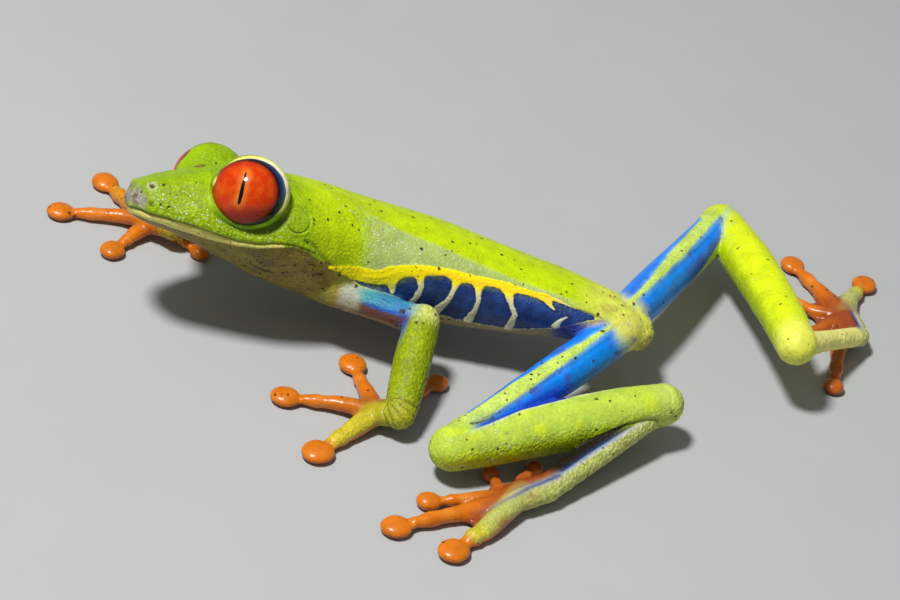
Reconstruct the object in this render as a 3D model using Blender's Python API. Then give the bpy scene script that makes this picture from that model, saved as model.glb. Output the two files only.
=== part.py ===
"""Red-eyed tree frog, a life-size still model in a slow walking pose, as closed solids for its named parts.

Frame: metres, +Z up, origin on the floor under the middle of the bounding box. The head points to -X, the frog's
left side faces -Y, and the discs of its fingers and toes stand on z = 0.
Lengths below are millimetres for a body of 52 mm from snout to vent. BODY_LENGTH is the driving size: UNIT scales
everything with it, and turns millimetres into metres.
"""

import math
from collections import namedtuple

import bmesh
import bpy
from mathutils import Matrix, Vector

BODY_LENGTH = 52.0
UNIT = 0.001 * BODY_LENGTH / 52.0
GAP = 0.3
HALF_GAP = GAP / 2


def v(x, y, z):
    return Vector((x, y, z))


# ---- Trunk: slices from the vent to the shoulders. A slice has its middle, half width, height above and below
# the middle, and the roll in degrees that lifts the frog's left side.
TrunkSlice = namedtuple("TrunkSlice", "middle width top bottom roll")
TRUNK = [
    TrunkSlice(v(16.9, -2.8, 5.8), 1.0, 0.7, 0.8, 4),
    TrunkSlice(v(16.1, -2.8, 6.1), 2.2, 1.4, 1.7, 5),
    TrunkSlice(v(13.9, -2.4, 6.7), 3.3, 2.0, 2.4, 6),
    TrunkSlice(v(10.0, -1.4, 7.1), 4.1, 2.5, 2.8, 8),
    TrunkSlice(v(5.0, -0.1, 7.1), 4.8, 3.2, 3.6, 10),
    TrunkSlice(v(0.0, 1.2, 7.3), 5.4, 3.8, 4.6, 13),
    TrunkSlice(v(-5.0, 2.3, 7.8), 6.0, 4.2, 5.4, 17),
    TrunkSlice(v(-10.0, 3.0, 8.3), 6.4, 4.4, 5.8, 22),
]

# ---- Head: rigid, with its own axes from the point midway between the eyes. A slice has its distance ahead of
# that point, the height of its widest level, half width, and height above and below that level.
BODY_SIDES, BODY_STEPS = 20, 30
HEAD_AT = v(-24.5, 2.4, 14.2)
HEAD_YAW, HEAD_PITCH, HEAD_ROLL = 18.7, 3.0, 27.7
HeadSlice = namedtuple("HeadSlice", "ahead level width top bottom")
HEAD = [
    HeadSlice(-9.5, -4.8, 6.7, 4.6, 6.8),
    HeadSlice(-5.0, -4.0, 7.1, 4.9, 5.9),
    HeadSlice(-1.0, -3.6, 6.9, 5.2, 4.5),
    HeadSlice(2.5, -3.1, 6.1, 4.8, 3.0),
    HeadSlice(5.5, -2.4, 5.0, 3.6, 2.2),
    HeadSlice(8.0, -1.8, 3.7, 2.6, 1.8),
    HeadSlice(9.6, -1.4, 2.6, 1.7, 1.3),
    HeadSlice(10.4, -1.25, 1.3, 0.8, 0.7),
]
NECK_AHEAD = -9.0
MOUTH_FRONT, MOUTH_CORNER = (10.2, -2.3), (-5.2, -5.3)

EYE_AHEAD, EYE_ASIDE, EYE_LEVEL = 0.2, 5.1, -0.25
EYE_SIZE, LID_SIZE = v(3.45, 3.2, 3.25), v(3.8, 3.55, 3.65)  # half lengths ahead, up and out along the eye's axis
EYE_FORWARD, EYE_UPWARD = 25.0, 10.0
EYE_GAP = 0.15
LID_OPENING, LID_OPENING_AT = 3.35, 0.6
EARDRUM_AHEAD, EARDRUM_LEVEL, EARDRUM_ASIDE, EARDRUM_SLOPE = -4.3, -2.8, 6.75, 12.0
EARDRUM_RADIUS, EARDRUM_DEPTH = 1.1, 0.4

# ---- Limbs: joints, then (share of the length, half width, half height) along each segment.
ARM_JOINTS = {
    "left": (v(-13.2, -2.5, 6.5), v(-5.5, -5.9, 6.75), v(-7.3, -14.8, 2.6)),
    "right": (v(-15.0, 6.4, 6.6), v(-20.0, 15.8, 5.2), v(-28.4, 11.2, 2.5)),
}
LEG_JOINTS = {
    "left": (v(13.8, -4.0, 6.8), v(-2.9, -20.0, 3.3), v(17.6, -11.5, 4.4), v(6.0, -22.3, 1.7)),
    "right": (v(14.7, -1.2, 6.9), v(27.0, 18.6, 5.1), v(30.9, -3.9, 7.5), v(40.2, 6.4, 1.9)),
}
UPPER_ARM = [(0.0, 1.8, 1.8), (0.45, 1.35, 1.3), (1.0, 1.6, 1.5)]
FOREARM = [(0.0, 1.7, 1.7), (0.45, 1.75, 1.75), (0.85, 1.6, 1.5), (1.0, 1.5, 1.4)]
PALM = [(0.0, 1.4, 1.2), (1.0, 1.7, 1.1)]
THIGH = {
    "left": [(0.0, 2.0, 1.9), (0.3, 2.1, 2.1), (0.75, 1.9, 1.95), (1.0, 2.0, 1.9)],
    "right": [(0.0, 2.0, 1.9), (0.3, 2.1, 2.15), (0.75, 2.0, 2.0), (1.0, 2.1, 2.0)],
}
SHANK = {
    "left": [(0.0, 2.1, 2.1), (0.35, 2.45, 2.4), (0.8, 2.3, 2.3), (1.0, 1.95, 2.0)],
    "right": [(0.0, 2.2, 2.1), (0.35, 2.4, 2.3), (0.8, 2.15, 2.1), (1.0, 2.0, 2.0)],
}
SHANK_BOW = {"left": 0.0, "right": -0.5}
TARSUS = {
    "left": [(0.0, 1.4, 1.35), (0.5, 1.4, 1.2), (1.0, 1.35, 1.15)],
    "right": [(0.0, 1.35, 1.2), (0.5, 1.1, 0.95), (1.0, 1.1, 0.95)],
}
SOLE = {
    "left": [(0.0, 1.4, 1.2), (1.0, 1.7, 1.1)],
    "right": [(0.0, 1.15, 1.0), (1.0, 1.3, 1.0)],
}

# ---- Hands and feet: each digit runs from the root over its knuckle to the middle of its disc. The second number
# is its width, as a share of the usual digit, and the third its disc's.
Digit = namedtuple("Digit", "knuckle tip width disc")
HANDS = {
    "left": (v(-9.1, -13.5, 1.5), [
        Digit(v(-6.3, -10.8, 0.9), v(-3.0, -6.9, 0), 0.9, 0.9),
        Digit(v(-10.0, -9.9, 1.0), v(-11.05, -5.45, 0), 1.0, 1.12),
        Digit(v(-12.3, -12.2, 1.0), v(-17.55, -11.5, 0), 1.0, 1.12),
        Digit(v(-11.1, -15.4, 1.0), v(-14.7, -19.1, 0), 1.25, 1.25),
    ]),
    "right": (v(-30.2, 12.9, 1.5), [
        Digit(v(-28.0, 11.9, 0.9), v(-25.6, 10.0, 0), 0.9, 0.85),
        Digit(v(-31.9, 11.4, 1.0), v(-34.1, 8.7, 0), 1.0, 1.02),
        Digit(v(-33.2, 14.0, 1.0), v(-39.3, 14.2, 0), 1.0, 1.08),
        Digit(v(-32.3, 15.8, 1.0), v(-35.1, 20.1, 0), 1.2, 1.12),
    ]),
}
FEET = {
    "left": (v(3.6, -23.4, 1.5), [
        Digit(v(4.0, -20.6, 0.8), v(5.4, -18.3, 0), 0.85, 0.75),
        Digit(v(1.8, -22.0, 0.8), v(1.2, -19.7, 0), 0.85, 0.75),
        Digit(v(-1.0, -24.0, 0.9), v(-4.8, -24.5, 0), 0.9, 0.92),
        Digit(v(-1.2, -25.7, 0.9), v(-7.95, -28.5, 0), 1.1, 1.15),
        Digit(v(0.3, -27.8, 0.9), v(-2.9, -31.0, 0), 1.3, 1.2),
    ]),
    "right": (v(39.8, 10.6, 1.4), [
        Digit(v(38.4, 5.6, 0.9), v(36.9, -0.6, 0), 1.1, 0.85),
        Digit(v(37.4, 8.8, 0.9), v(34.6, 7.2, 0), 0.85, 0.75),
        Digit(v(37.0, 11.2, 0.9), v(32.8, 14.4, 0), 0.9, 0.85),
        Digit(v(38.3, 14.2, 0.9), v(35.8, 19.5, 0), 1.1, 1.05),
        Digit(v(40.8, 13.8, 0.9), v(43.1, 17.5, 0), 1.2, 1.08),
    ]),
}
DIGIT_RADIUS = 0.62
DISC_LENGTH, DISC_WIDTH, DISC_HEIGHT, DISC_LEVEL = 1.3, 1.2, 0.7, 0.6
WEB_THICKNESS, WEB_LEVEL, WEB_STEP, WEB_HOLLOW = 0.5, 0.75, 0.03, 0.35
HAND_WEB, FOOT_WEB = 0.5, 0.72
KNUCKLE_SHARE = 0.4

# ---- Colour of each kind of node, linear RGB, with its roughness.
LIME, PALE_LIME, CREAM = (0.35, 0.55, 0.03), (0.50, 0.58, 0.14), (0.72, 0.66, 0.44)
RED, BLUE, ORANGE = (0.65, 0.04, 0.01), (0.02, 0.14, 0.65), (0.80, 0.20, 0.02)
COLOURS = {
    "head": (LIME, 0.40), "lower_jaw": (CREAM, 0.50), "eye": (RED, 0.08), "eardrum": (LIME, 0.40),
    "trunk": (LIME, 0.40), "upper_arm": (BLUE, 0.45), "forearm": (LIME, 0.50), "hand": (ORANGE, 0.35),
    "thigh": (BLUE, 0.40), "shank": (LIME, 0.45), "tarsus": (PALE_LIME, 0.50), "foot": (ORANGE, 0.35),
}


def between(values, count):
    """count + 1 values along a smooth line through the given Vectors or numbers."""
    ends = [2 * values[0] - values[1], *values, 2 * values[-1] - values[-2]]
    spans = len(values) - 1
    line = []
    for step in range(count + 1):
        place = min(step / count * spans, spans - 1e-9)
        k = int(place)
        t = place - k
        a, b, c, d = ends[k:k + 4]
        cubic = 3 * b - a - 3 * c + d
        line.append(0.5 * (2 * b + (c - a) * t + (2 * a - 5 * b + 4 * c - d) * t ** 2 + cubic * t ** 3))
    return line


def oval(middle, side, up, width, top, bottom, sides):
    """A ring of points round the middle, with its own height above and below."""
    ring = []
    for n in range(sides):
        angle = 2 * math.pi * n / sides
        height = top if math.sin(angle) > 0 else bottom
        ring.append(middle + side * width * math.cos(angle) + up * height * math.sin(angle))
    return ring


def new_object(name, points, faces):
    mesh = bpy.data.meshes.new(name)
    mesh.from_pydata([p * UNIT for p in points], [], faces)
    obj = bpy.data.objects.new(name, mesh)
    bpy.context.scene.collection.objects.link(obj)
    tidy(obj)
    return obj


def tidy(obj):
    """Merge stray doubles, face everything outward and shade smooth between the sharp edges."""
    bm = bmesh.new()
    bm.from_mesh(obj.data)
    bmesh.ops.remove_doubles(bm, verts=bm.verts, dist=0.0001 * UNIT)
    bmesh.ops.recalc_face_normals(bm, faces=bm.faces)
    bm.to_mesh(obj.data)
    bm.free()
    obj.data.shade_smooth()
    obj.data.set_sharp_from_angle(angle=math.radians(40))


def loft(name, rings):
    """A closed tube through the rings, with a flat cap at each end."""
    sides = len(rings[0])
    points = [p for ring in rings for p in ring]
    faces = []
    for r in range(len(rings) - 1):
        for k in range(sides):
            a, b = r * sides + k, r * sides + (k + 1) % sides
            faces.append((a, b, b + sides, a + sides))
    faces.append(tuple(reversed(range(sides))))
    faces.append(tuple(range((len(rings) - 1) * sides, len(rings) * sides)))
    return new_object(name, points, faces)


def keep_behind(obj, point, normal):
    """Cut the object with a plane, drop what lies on the normal's side and close the cut."""
    bm = bmesh.new()
    bm.from_mesh(obj.data)
    geometry = bm.verts[:] + bm.edges[:] + bm.faces[:]
    bmesh.ops.bisect_plane(bm, geom=geometry, plane_co=point * UNIT, plane_no=normal, clear_outer=True)
    rim = [e for e in bm.edges if e.is_boundary]
    bmesh.ops.holes_fill(bm, edges=rim)
    bm.to_mesh(obj.data)
    bm.free()
    tidy(obj)


def combine(obj, other, operation):
    """Apply a Boolean of the object with the other one, and remove the other one."""
    modifier = obj.modifiers.new("cut", "BOOLEAN")
    modifier.operation = operation
    modifier.solver = "EXACT"
    modifier.object = other
    graph = bpy.context.evaluated_depsgraph_get()
    result = bpy.data.meshes.new_from_object(obj.evaluated_get(graph))
    obj.modifiers.remove(modifier)
    obj.data = result
    bpy.data.objects.remove(other)
    tidy(obj)


def copy_of(obj, name):
    twin = bpy.data.objects.new(name, obj.data.copy())
    bpy.context.scene.collection.objects.link(twin)
    return twin


# ---- Head and trunk ----

def head_axes():
    """Unit vectors ahead, to the frog's right and up in the head."""
    yaw, pitch = math.radians(HEAD_YAW), math.radians(HEAD_PITCH)
    ahead = v(-math.cos(yaw) * math.cos(pitch), -math.sin(yaw) * math.cos(pitch), math.sin(pitch))
    right = ahead.cross(v(0, 0, 1)).normalized()
    right = Matrix.Rotation(math.radians(HEAD_ROLL), 3, ahead) @ right
    return ahead, right, right.cross(ahead)


def in_head(ahead, aside, up):
    f, s, u = head_axes()
    return HEAD_AT + f * ahead + s * aside + u * up


def body_rings(sides, steps, grow=0.0):
    """Rings from the vent to the snout: the trunk follows its spine, and the head keeps its own axes."""
    keys = []
    middles = [s.middle for s in TRUNK] + [in_head(HEAD[0].ahead, 0, HEAD[0].level)]
    for k, part in enumerate(TRUNK):
        ahead = (middles[k + 1] - middles[max(k - 1, 0)]).normalized()
        right = ahead.cross(v(0, 0, 1)).normalized()
        right = Matrix.Rotation(math.radians(part.roll), 3, ahead) @ right
        size = (part.width + grow, part.top + grow, part.bottom + grow)
        keys.append(oval(part.middle, right, right.cross(ahead), *size, sides))
    ahead, right, up = head_axes()
    for part in HEAD:
        size = (part.width + grow, part.top + grow, part.bottom + grow)
        keys.append(oval(in_head(part.ahead, 0, part.level), right, up, *size, sides))
    tracks = [between([ring[n] for ring in keys], steps) for n in range(sides)]
    return [list(ring) for ring in zip(*tracks)]


def spheroid(name, centre, turn, size, segments=16, rings=9):
    """An ellipsoid with these half lengths, turned by the matrix."""
    bm = bmesh.new()
    bmesh.ops.create_uvsphere(bm, u_segments=segments, v_segments=rings, radius=1.0)
    scale = Matrix.Diagonal((*size, 1.0))
    bmesh.ops.transform(bm, matrix=Matrix.Translation(centre) @ turn.to_4x4() @ scale, verts=bm.verts)
    points = [vert.co.copy() for vert in bm.verts]
    faces = [[vert.index for vert in face.verts] for face in bm.faces]
    bm.free()
    return new_object(name, points, faces)


def rod(name, start, end, radius, sides=24):
    """A straight cylinder from start to end."""
    ahead = (end - start).normalized()
    side = ahead.orthogonal().normalized()
    up = ahead.cross(side)
    return loft(name, [oval(p, side, up, radius, radius, radius, sides) for p in (start, end)])


def eye_turn(sign):
    """The eye's own axes as a matrix, ahead, up and out: sign is -1 for the left eye and 1 for the right one."""
    f, s, u = head_axes()
    forward, upward = math.radians(EYE_FORWARD), math.radians(EYE_UPWARD)
    level = s * sign * math.cos(forward) + f * math.sin(forward)
    out = (level * math.cos(upward) + u * math.sin(upward)).normalized()
    ahead = (f - out * f.dot(out)).normalized()
    return Matrix((ahead, out.cross(ahead), out)).transposed()


def build_body():
    """Trunk, head, lower jaw, eyes and eardrums."""
    f, s, u = head_axes()
    head = loft("head", body_rings(BODY_SIDES, BODY_STEPS))
    trunk = copy_of(head, "trunk")
    neck = in_head(NECK_AHEAD, 0, 0)
    keep_behind(trunk, neck - f * HALF_GAP, f)
    keep_behind(head, neck + f * HALF_GAP, -f)
    for sign in (-1, 1):
        combine(head, spheroid("lid", in_head(EYE_AHEAD, sign * EYE_ASIDE, EYE_LEVEL), eye_turn(sign), LID_SIZE), "UNION")
    jaw = copy_of(head, "lower_jaw")
    front, corner = in_head(MOUTH_FRONT[0], 0, MOUTH_FRONT[1]), in_head(MOUTH_CORNER[0], 0, MOUTH_CORNER[1])
    across = s.cross((front - corner).normalized()).normalized()
    across = across if across.dot(u) > 0 else -across
    keep_behind(jaw, front - across * HALF_GAP, across)
    keep_behind(head, front + across * HALF_GAP, -across)
    for side, sign in (("left", -1), ("right", 1)):
        centre, turn = in_head(EYE_AHEAD, sign * EYE_ASIDE, EYE_LEVEL), eye_turn(sign)
        spheroid(f"eye_{side}", centre, turn, EYE_SIZE)
        out = turn.col[2]
        window = rod("window", centre + out * LID_OPENING_AT, centre + out * 9, LID_OPENING)
        combine(head, window, "DIFFERENCE")
        combine(head, spheroid("socket", centre, turn, EYE_SIZE + v(1, 1, 1) * EYE_GAP), "DIFFERENCE")
        drum_at = in_head(EARDRUM_AHEAD, sign * EARDRUM_ASIDE, EARDRUM_LEVEL)
        slope = math.radians(EARDRUM_SLOPE)
        outward = s * sign * math.cos(slope) + u * math.sin(slope)
        turn, size = outward.to_track_quat("Z", "Y").to_matrix(), v(EARDRUM_RADIUS, EARDRUM_RADIUS, EARDRUM_DEPTH)
        spheroid(f"eardrum_{side}", drum_at, turn, size, 12, 6)
        dish = spheroid("dish", drum_at, turn, size + v(1, 1, 1) * GAP, 12, 6)
        combine(head, dish, "DIFFERENCE")


# ---- Limbs ----

def limb(name, start, end, profile, sides=12, steps=5, bow=0.0):
    """A tube with round ends from start to end, bowed sideways by that much in its middle."""
    length = (end - start).length
    ahead = (end - start).normalized()
    side = ahead.cross(v(0, 0, 1)).normalized()
    up = side.cross(ahead)
    shares = between([row[0] for row in profile], steps)
    widths = between([row[1] for row in profile], steps)
    heights = between([row[2] for row in profile], steps)
    stations = [(share * length, w, h) for share, w, h in zip(shares, widths, heights)]
    for angle in (60, 30, 10):
        along, across = math.cos(math.radians(angle)), math.sin(math.radians(angle))
        stations.insert(0, (-along * widths[0], across * widths[0], across * heights[0]))
        stations.append((length + along * widths[-1], across * widths[-1], across * heights[-1]))
    rings = []
    for x, w, h in stations:
        share = min(max(x / length, 0), 1)
        middle = start + ahead * x + side * bow * 4 * share * (1 - share)
        rings.append(oval(middle, side, up, w, h, h, sides))
    return loft(name, rings)


def mitre_normal(start, joint, end):
    """The normal of the plane midway between two limb segments, towards the second one."""
    return ((joint - start).normalized() + (end - joint).normalized()).normalized()


def mitre(before, after, start, joint, end):
    """Part two limb segments at their joint."""
    normal = mitre_normal(start, joint, end)
    keep_behind(before, joint - normal * HALF_GAP, normal)
    keep_behind(after, joint + normal * HALF_GAP, -normal)


def digit_rings(root, digit, sides=8):
    """Rings of one finger or toe, from inside the palm over the knuckle to its round disc."""
    run = (digit.tip - digit.knuckle)
    run.z = 0
    run.normalize()
    disc = digit.tip + v(0, 0, DISC_LEVEL)
    reach = DISC_LENGTH * digit.disc
    neck = disc - run * reach * 1.15 + v(0, 0, 0.1)
    middle = (digit.knuckle + neck) / 2
    spine = [root, digit.knuckle, middle, neck]
    r = DIGIT_RADIUS * digit.width
    places = between(spine, 4)
    widths = between([r * 1.5, r * 1.25, r, r * 0.98], 4)
    heights = between([r * 1.3, r * 1.15, r * 0.95, r * 0.85], 4)
    for angle in (135, 100, 65, 35, 12):
        along, across = math.cos(math.radians(angle)), math.sin(math.radians(angle))
        places.append(disc + run * reach * along)
        widths.append(DISC_WIDTH * digit.disc * across)
        heights.append(DISC_HEIGHT * across)
    rings = []
    for k, place in enumerate(places):
        ahead = (places[min(k + 1, len(places) - 1)] - places[max(k - 1, 0)]).normalized()
        side = ahead.cross(v(0, 0, 1)).normalized()
        rings.append(oval(place, side, side.cross(ahead), widths[k], heights[k], heights[k], sides))
    return rings


def along_digit(root, digit, share):
    """The point at this share of the way from the root over the knuckle to the disc."""
    if share < KNUCKLE_SHARE:
        return root.lerp(digit.knuckle, share / KNUCKLE_SHARE)
    return digit.knuckle.lerp(digit.tip, (share - KNUCKLE_SHARE) / (1 - KNUCKLE_SHARE))


def web(name, root, first, second, reach, level):
    """A thin plate in the fork of two digits, with a hollow free edge."""
    rows, columns = (0.4, 1.0), 5
    lows, highs = [], []
    for row in rows:
        for column in range(columns):
            across = column / (columns - 1)
            share = row * reach * (1 - WEB_HOLLOW * 4 * across * (1 - across))
            place = along_digit(root, first, share).lerp(along_digit(root, second, share), across)
            lows.append(v(place.x, place.y, level - WEB_THICKNESS / 2))
            highs.append(v(place.x, place.y, level + WEB_THICKNESS / 2))
    count = len(lows)
    faces = []
    for r in range(len(rows) - 1):
        for c in range(columns - 1):
            a = r * columns + c
            quad = (a, a + 1, a + 1 + columns, a + columns)
            faces += [quad, tuple(reversed([k + count for k in quad]))]
    rim = list(range(columns)) + [r * columns + columns - 1 for r in range(1, len(rows))]
    rim += [count - 1 - c for c in range(1, columns)] + [r * columns for r in range(len(rows) - 2, 0, -1)]
    faces += [(a, b, b + count, a + count) for a, b in zip(rim, rim[1:] + rim[:1])]
    return new_object(name, lows + highs, faces)


def add_digits(palm, root, digits, web_reach):
    """Join the digits, with their discs and the webs between them, to the palm, and flatten all at z = 0."""
    for digit in digits:
        combine(palm, loft("digit", digit_rings(root, digit)), "UNION")
    for k, (first, second) in enumerate(zip(digits, digits[1:])):
        combine(palm, web("web", root, first, second, web_reach, WEB_LEVEL + WEB_STEP * k), "UNION")
    keep_behind(palm, v(0, 0, 0), v(0, 0, -1))


def clear(obj, start, joint, end, profile):
    """Keep the object clear of the limb segment that ends at the joint before it."""
    grown = [(share, width + GAP, height + GAP) for share, width, height in profile]
    segment = limb("segment", start, joint, grown)
    keep_behind(segment, joint, mitre_normal(start, joint, end))
    combine(obj, segment, "DIFFERENCE")


def part_from_trunk(root):
    """Take the trunk, and the gap round it, off the root of a limb."""
    combine(root, loft("shell", body_rings(BODY_SIDES, BODY_STEPS, GAP)), "DIFFERENCE")


def build_arm(side):
    shoulder, elbow, wrist = ARM_JOINTS[side]
    root, fingers = HANDS[side]
    upper_arm = limb(f"upper_arm_{side}", shoulder, elbow, UPPER_ARM)
    forearm = limb(f"forearm_{side}", elbow, wrist, FOREARM)
    hand = limb(f"hand_{side}", wrist, root, PALM, steps=3)
    mitre(upper_arm, forearm, shoulder, elbow, wrist)
    mitre(forearm, hand, elbow, wrist, root)
    part_from_trunk(upper_arm)
    add_digits(hand, root, fingers, HAND_WEB)
    clear(hand, elbow, wrist, root, FOREARM)


def build_leg(side):
    hip, knee, heel, ankle = LEG_JOINTS[side]
    root, toes = FEET[side]
    thigh = limb(f"thigh_{side}", hip, knee, THIGH[side])
    shank = limb(f"shank_{side}", knee, heel, SHANK[side], bow=SHANK_BOW[side])
    tarsus = limb(f"tarsus_{side}", heel, ankle, TARSUS[side])
    foot = limb(f"foot_{side}", ankle, root, SOLE[side], steps=3)
    mitre(thigh, shank, hip, knee, heel)
    mitre(shank, tarsus, knee, heel, ankle)
    mitre(tarsus, foot, heel, ankle, root)
    part_from_trunk(thigh)
    add_digits(foot, root, toes, FOOT_WEB)
    clear(foot, heel, ankle, root, TARSUS[side])


def colour(obj, tint, roughness):
    """Give the object a material of its own."""
    material = bpy.data.materials.new(obj.name)
    material.use_nodes = True
    shader = material.node_tree.nodes["Principled BSDF"]
    shader.inputs["Base Color"].default_value = (*tint, 1)
    shader.inputs["Roughness"].default_value = roughness
    shader.inputs["Metallic"].default_value = 0.0
    obj.data.materials.clear()
    obj.data.materials.append(material)


def colour_all():
    for obj in bpy.data.objects:
        kind = obj.name.removesuffix("_left").removesuffix("_right")
        colour(obj, *COLOURS[kind])


def stand_on_origin():
    """Move everything so that the origin lies on the floor, under the middle of the bounding box."""
    corners = [vert.co for obj in bpy.data.objects for vert in obj.data.vertices]
    low = v(*(min(c[k] for c in corners) for k in range(3)))
    high = v(*(max(c[k] for c in corners) for k in range(3)))
    shift = -(low + high) / 2
    shift.z = -low.z
    for obj in bpy.data.objects:
        obj.data.transform(Matrix.Translation(shift))


def main():
    for obj in list(bpy.data.objects):
        bpy.data.objects.remove(obj)
    build_body()
    for side in ("left", "right"):
        build_arm(side)
        build_leg(side)
    colour_all()
    stand_on_origin()


if __name__ == "__main__":
    main()
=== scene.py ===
"""Red-eyed tree frog, life size, as a still museum model: one skin, two glossy eyes, and a plain studio.

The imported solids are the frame. Shapes are worked out in millimetres in the pose's own axes, where z is the
height above the floor, and set on the frame by its eyes. A painted field is either a share from 0 to 1, or a
distance in millimetres from the edge of a marking, above 0 inside it.
"""

import logging
import math
from collections.abc import Callable
from dataclasses import dataclass, field
from enum import Enum
from functools import cache
from itertools import product
from typing import NamedTuple

import bpy
import numpy as np
from mathutils import Matrix, Vector
from mathutils.kdtree import KDTree


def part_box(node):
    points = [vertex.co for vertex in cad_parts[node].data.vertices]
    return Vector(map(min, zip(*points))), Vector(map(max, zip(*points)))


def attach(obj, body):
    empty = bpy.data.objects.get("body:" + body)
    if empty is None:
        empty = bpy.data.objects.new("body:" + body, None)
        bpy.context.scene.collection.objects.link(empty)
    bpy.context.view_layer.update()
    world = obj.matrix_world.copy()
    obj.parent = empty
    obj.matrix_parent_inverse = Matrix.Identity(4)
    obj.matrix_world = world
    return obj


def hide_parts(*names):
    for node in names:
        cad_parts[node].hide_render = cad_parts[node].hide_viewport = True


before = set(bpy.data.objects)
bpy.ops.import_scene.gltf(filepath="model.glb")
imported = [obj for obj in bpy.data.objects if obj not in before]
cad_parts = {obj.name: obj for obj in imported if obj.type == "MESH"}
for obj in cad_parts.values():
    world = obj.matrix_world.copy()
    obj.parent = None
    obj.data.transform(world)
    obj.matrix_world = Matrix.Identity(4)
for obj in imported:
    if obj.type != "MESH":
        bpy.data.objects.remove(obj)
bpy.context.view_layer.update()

log = logging.getLogger("frog")
Points = np.ndarray
Socket = bpy.types.NodeSocket
Fields = dict[str, np.ndarray]
Course = tuple[tuple[float, float], ...]
Triple = tuple[float, float, float]
Colour = Triple

FAR = 9.0
DEGREE = math.pi / 180
SEED = 7
MIXERS = (73856093, 19349663, 83492791, 2654435761, 1274126177)


class Side(Enum):
    """A side of the frog, with the sign of its distance from the middle: plus is the frog's right."""

    LEFT = -1
    RIGHT = 1

    @property
    def word(self) -> str:
        """The side as the frame's nodes name it."""
        return self.name.lower()


# ---- Small mathematics ----


def vec(x: float, y: float, z: float) -> Points:
    """A point or a direction as an array."""
    return np.array([x, y, z], float)


def unit(v: Points) -> Points:
    """The same direction with length 1."""
    return v / np.linalg.norm(v, axis=-1, keepdims=True)


def turned(v: Points, axis: Points, degrees: float) -> Points:
    """A vector turned about an axis.

    Args:
        v: the vector.
        axis: a unit vector.
        degrees: the angle, anticlockwise seen against the axis.

    Returns:
        The turned vector.
    """
    c, s = math.cos(degrees * DEGREE), math.sin(degrees * DEGREE)
    return v * c + np.cross(axis, v) * s + axis * (v @ axis) * (1 - c)


def smooth_line(keys: Points, count: int) -> Points:
    """Rows on a smooth line through key rows.

    Args:
        keys: the rows that the line goes through, evenly spaced along it.
        count: how many steps the line is cut into.

    Returns:
        count + 1 rows.
    """
    ends = np.concatenate([[2 * keys[0] - keys[1]], keys, [2 * keys[-1] - keys[-2]]])
    spans = len(keys) - 1
    place = np.minimum(np.arange(count + 1) / count * spans, spans - 1e-9)
    k = place.astype(int)
    t = (place - k).reshape(-1, *[1] * (keys.ndim - 1))
    a, b, c, d = (ends[k + n] for n in range(4))
    return 0.5 * (2 * b + (c - a) * t + (2 * a - 5 * b + 4 * c - d) * t**2 + (3 * b - a - 3 * c + d) * t**3)


def step(x: Points, low: float, high: float) -> Points:
    """A soft step from 0 at low to 1 at high; low may be the larger one."""
    t = np.clip((x - low) / (high - low), 0, 1)
    return t * t * (3 - 2 * t)


def bell(x: Points, width: float) -> Points:
    """1 where x is 0, falling to a third at the width."""
    return np.exp(-((x / width) ** 2))


def read(course: Course, place: Points) -> Points:
    """The value of a course of (place, value) pairs, in rising order, at each place."""
    return np.interp(place, [p for p, _ in course], [v for _, v in course])


def soft_max(a: Points, b: Points, blend: float) -> Points:
    """The larger of two fields, with a fillet of that size where they meet."""
    h = np.maximum(blend - np.abs(a - b), 0) / blend
    return np.maximum(a, b) + h * h * blend / 4


def scatter(cells: Points, seed: int) -> Points:
    """A fixed pseudo-random number for each cell.

    Args:
        cells: the cells' whole numbers.
        seed: which numbers are drawn.

    Returns:
        Numbers from 0 to 1.
    """
    x, y, z = (cells[..., n].astype(np.int64) * MIXERS[n] for n in range(3))
    h = x ^ y ^ z ^ (seed * MIXERS[3])
    h = ((h ^ (h >> 13)) * MIXERS[4]) & 0x7FFFFFFF
    return ((h ^ (h >> 16)) & 0xFFFF) / 65535.0


def lumps(points: Points, size: float, seed: int = SEED) -> Points:
    """Smooth lumps that rise and fall through space.

    Args:
        points: where they are wanted.
        size: the size of a lump in millimetres.
        seed: which lumps.

    Returns:
        Heights from -1 to 1.
    """
    p = points / size + seed * 3.7
    cell = np.floor(p)
    f = p - cell
    f = f * f * (3 - 2 * f)
    total = np.zeros(len(points))
    for corner in product((0, 1), repeat=3):
        share = np.prod(np.where(np.array(corner) == 1, f, 1 - f), axis=1)
        total += share * scatter(cell + np.array(corner), seed)
    return total * 2 - 1


def pebbles(points: Points, size: float, seed: int = SEED) -> Points:
    """Rounded pebbles, packed through space.

    Args:
        points: where they are wanted.
        size: the size of a pebble in millimetres.
        seed: which pebbles.

    Returns:
        Heights: 1 on top of each pebble and 0 between them.
    """
    p = points / size
    cell = np.floor(p)
    nearest = np.full(len(points), FAR)
    for shift in product((-1, 0, 1), repeat=3):
        other = cell + np.array(shift)
        spot = np.stack([scatter(other, seed + n) for n in range(3)], axis=1) * 0.8 + 0.1
        nearest = np.minimum(nearest, np.linalg.norm(other + spot - p, axis=1))
    return 1 - step(nearest, 0.1, 0.75)


def ribbon(x: Points, y: Points, path: tuple[Triple, ...]) -> Points:
    """How far each flat place (x, y) is inside a ribbon.

    Args:
        x: the places' first numbers.
        y: their second ones.
        path: rows of (x, y, half width) along the ribbon's middle.

    Returns:
        Distances from its edge, below 0 outside it.
    """
    best = np.full(len(x), -FAR)
    for (ax, ay, aw), (bx, by, bw) in zip(path, path[1:]):
        dx, dy = bx - ax, by - ay
        t = np.clip(((x - ax) * dx + (y - ay) * dy) / (dx * dx + dy * dy), 0, 1)
        best = np.maximum(best, aw + (bw - aw) * t - np.hypot(x - ax - dx * t, y - ay - dy * t))
    return best


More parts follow.
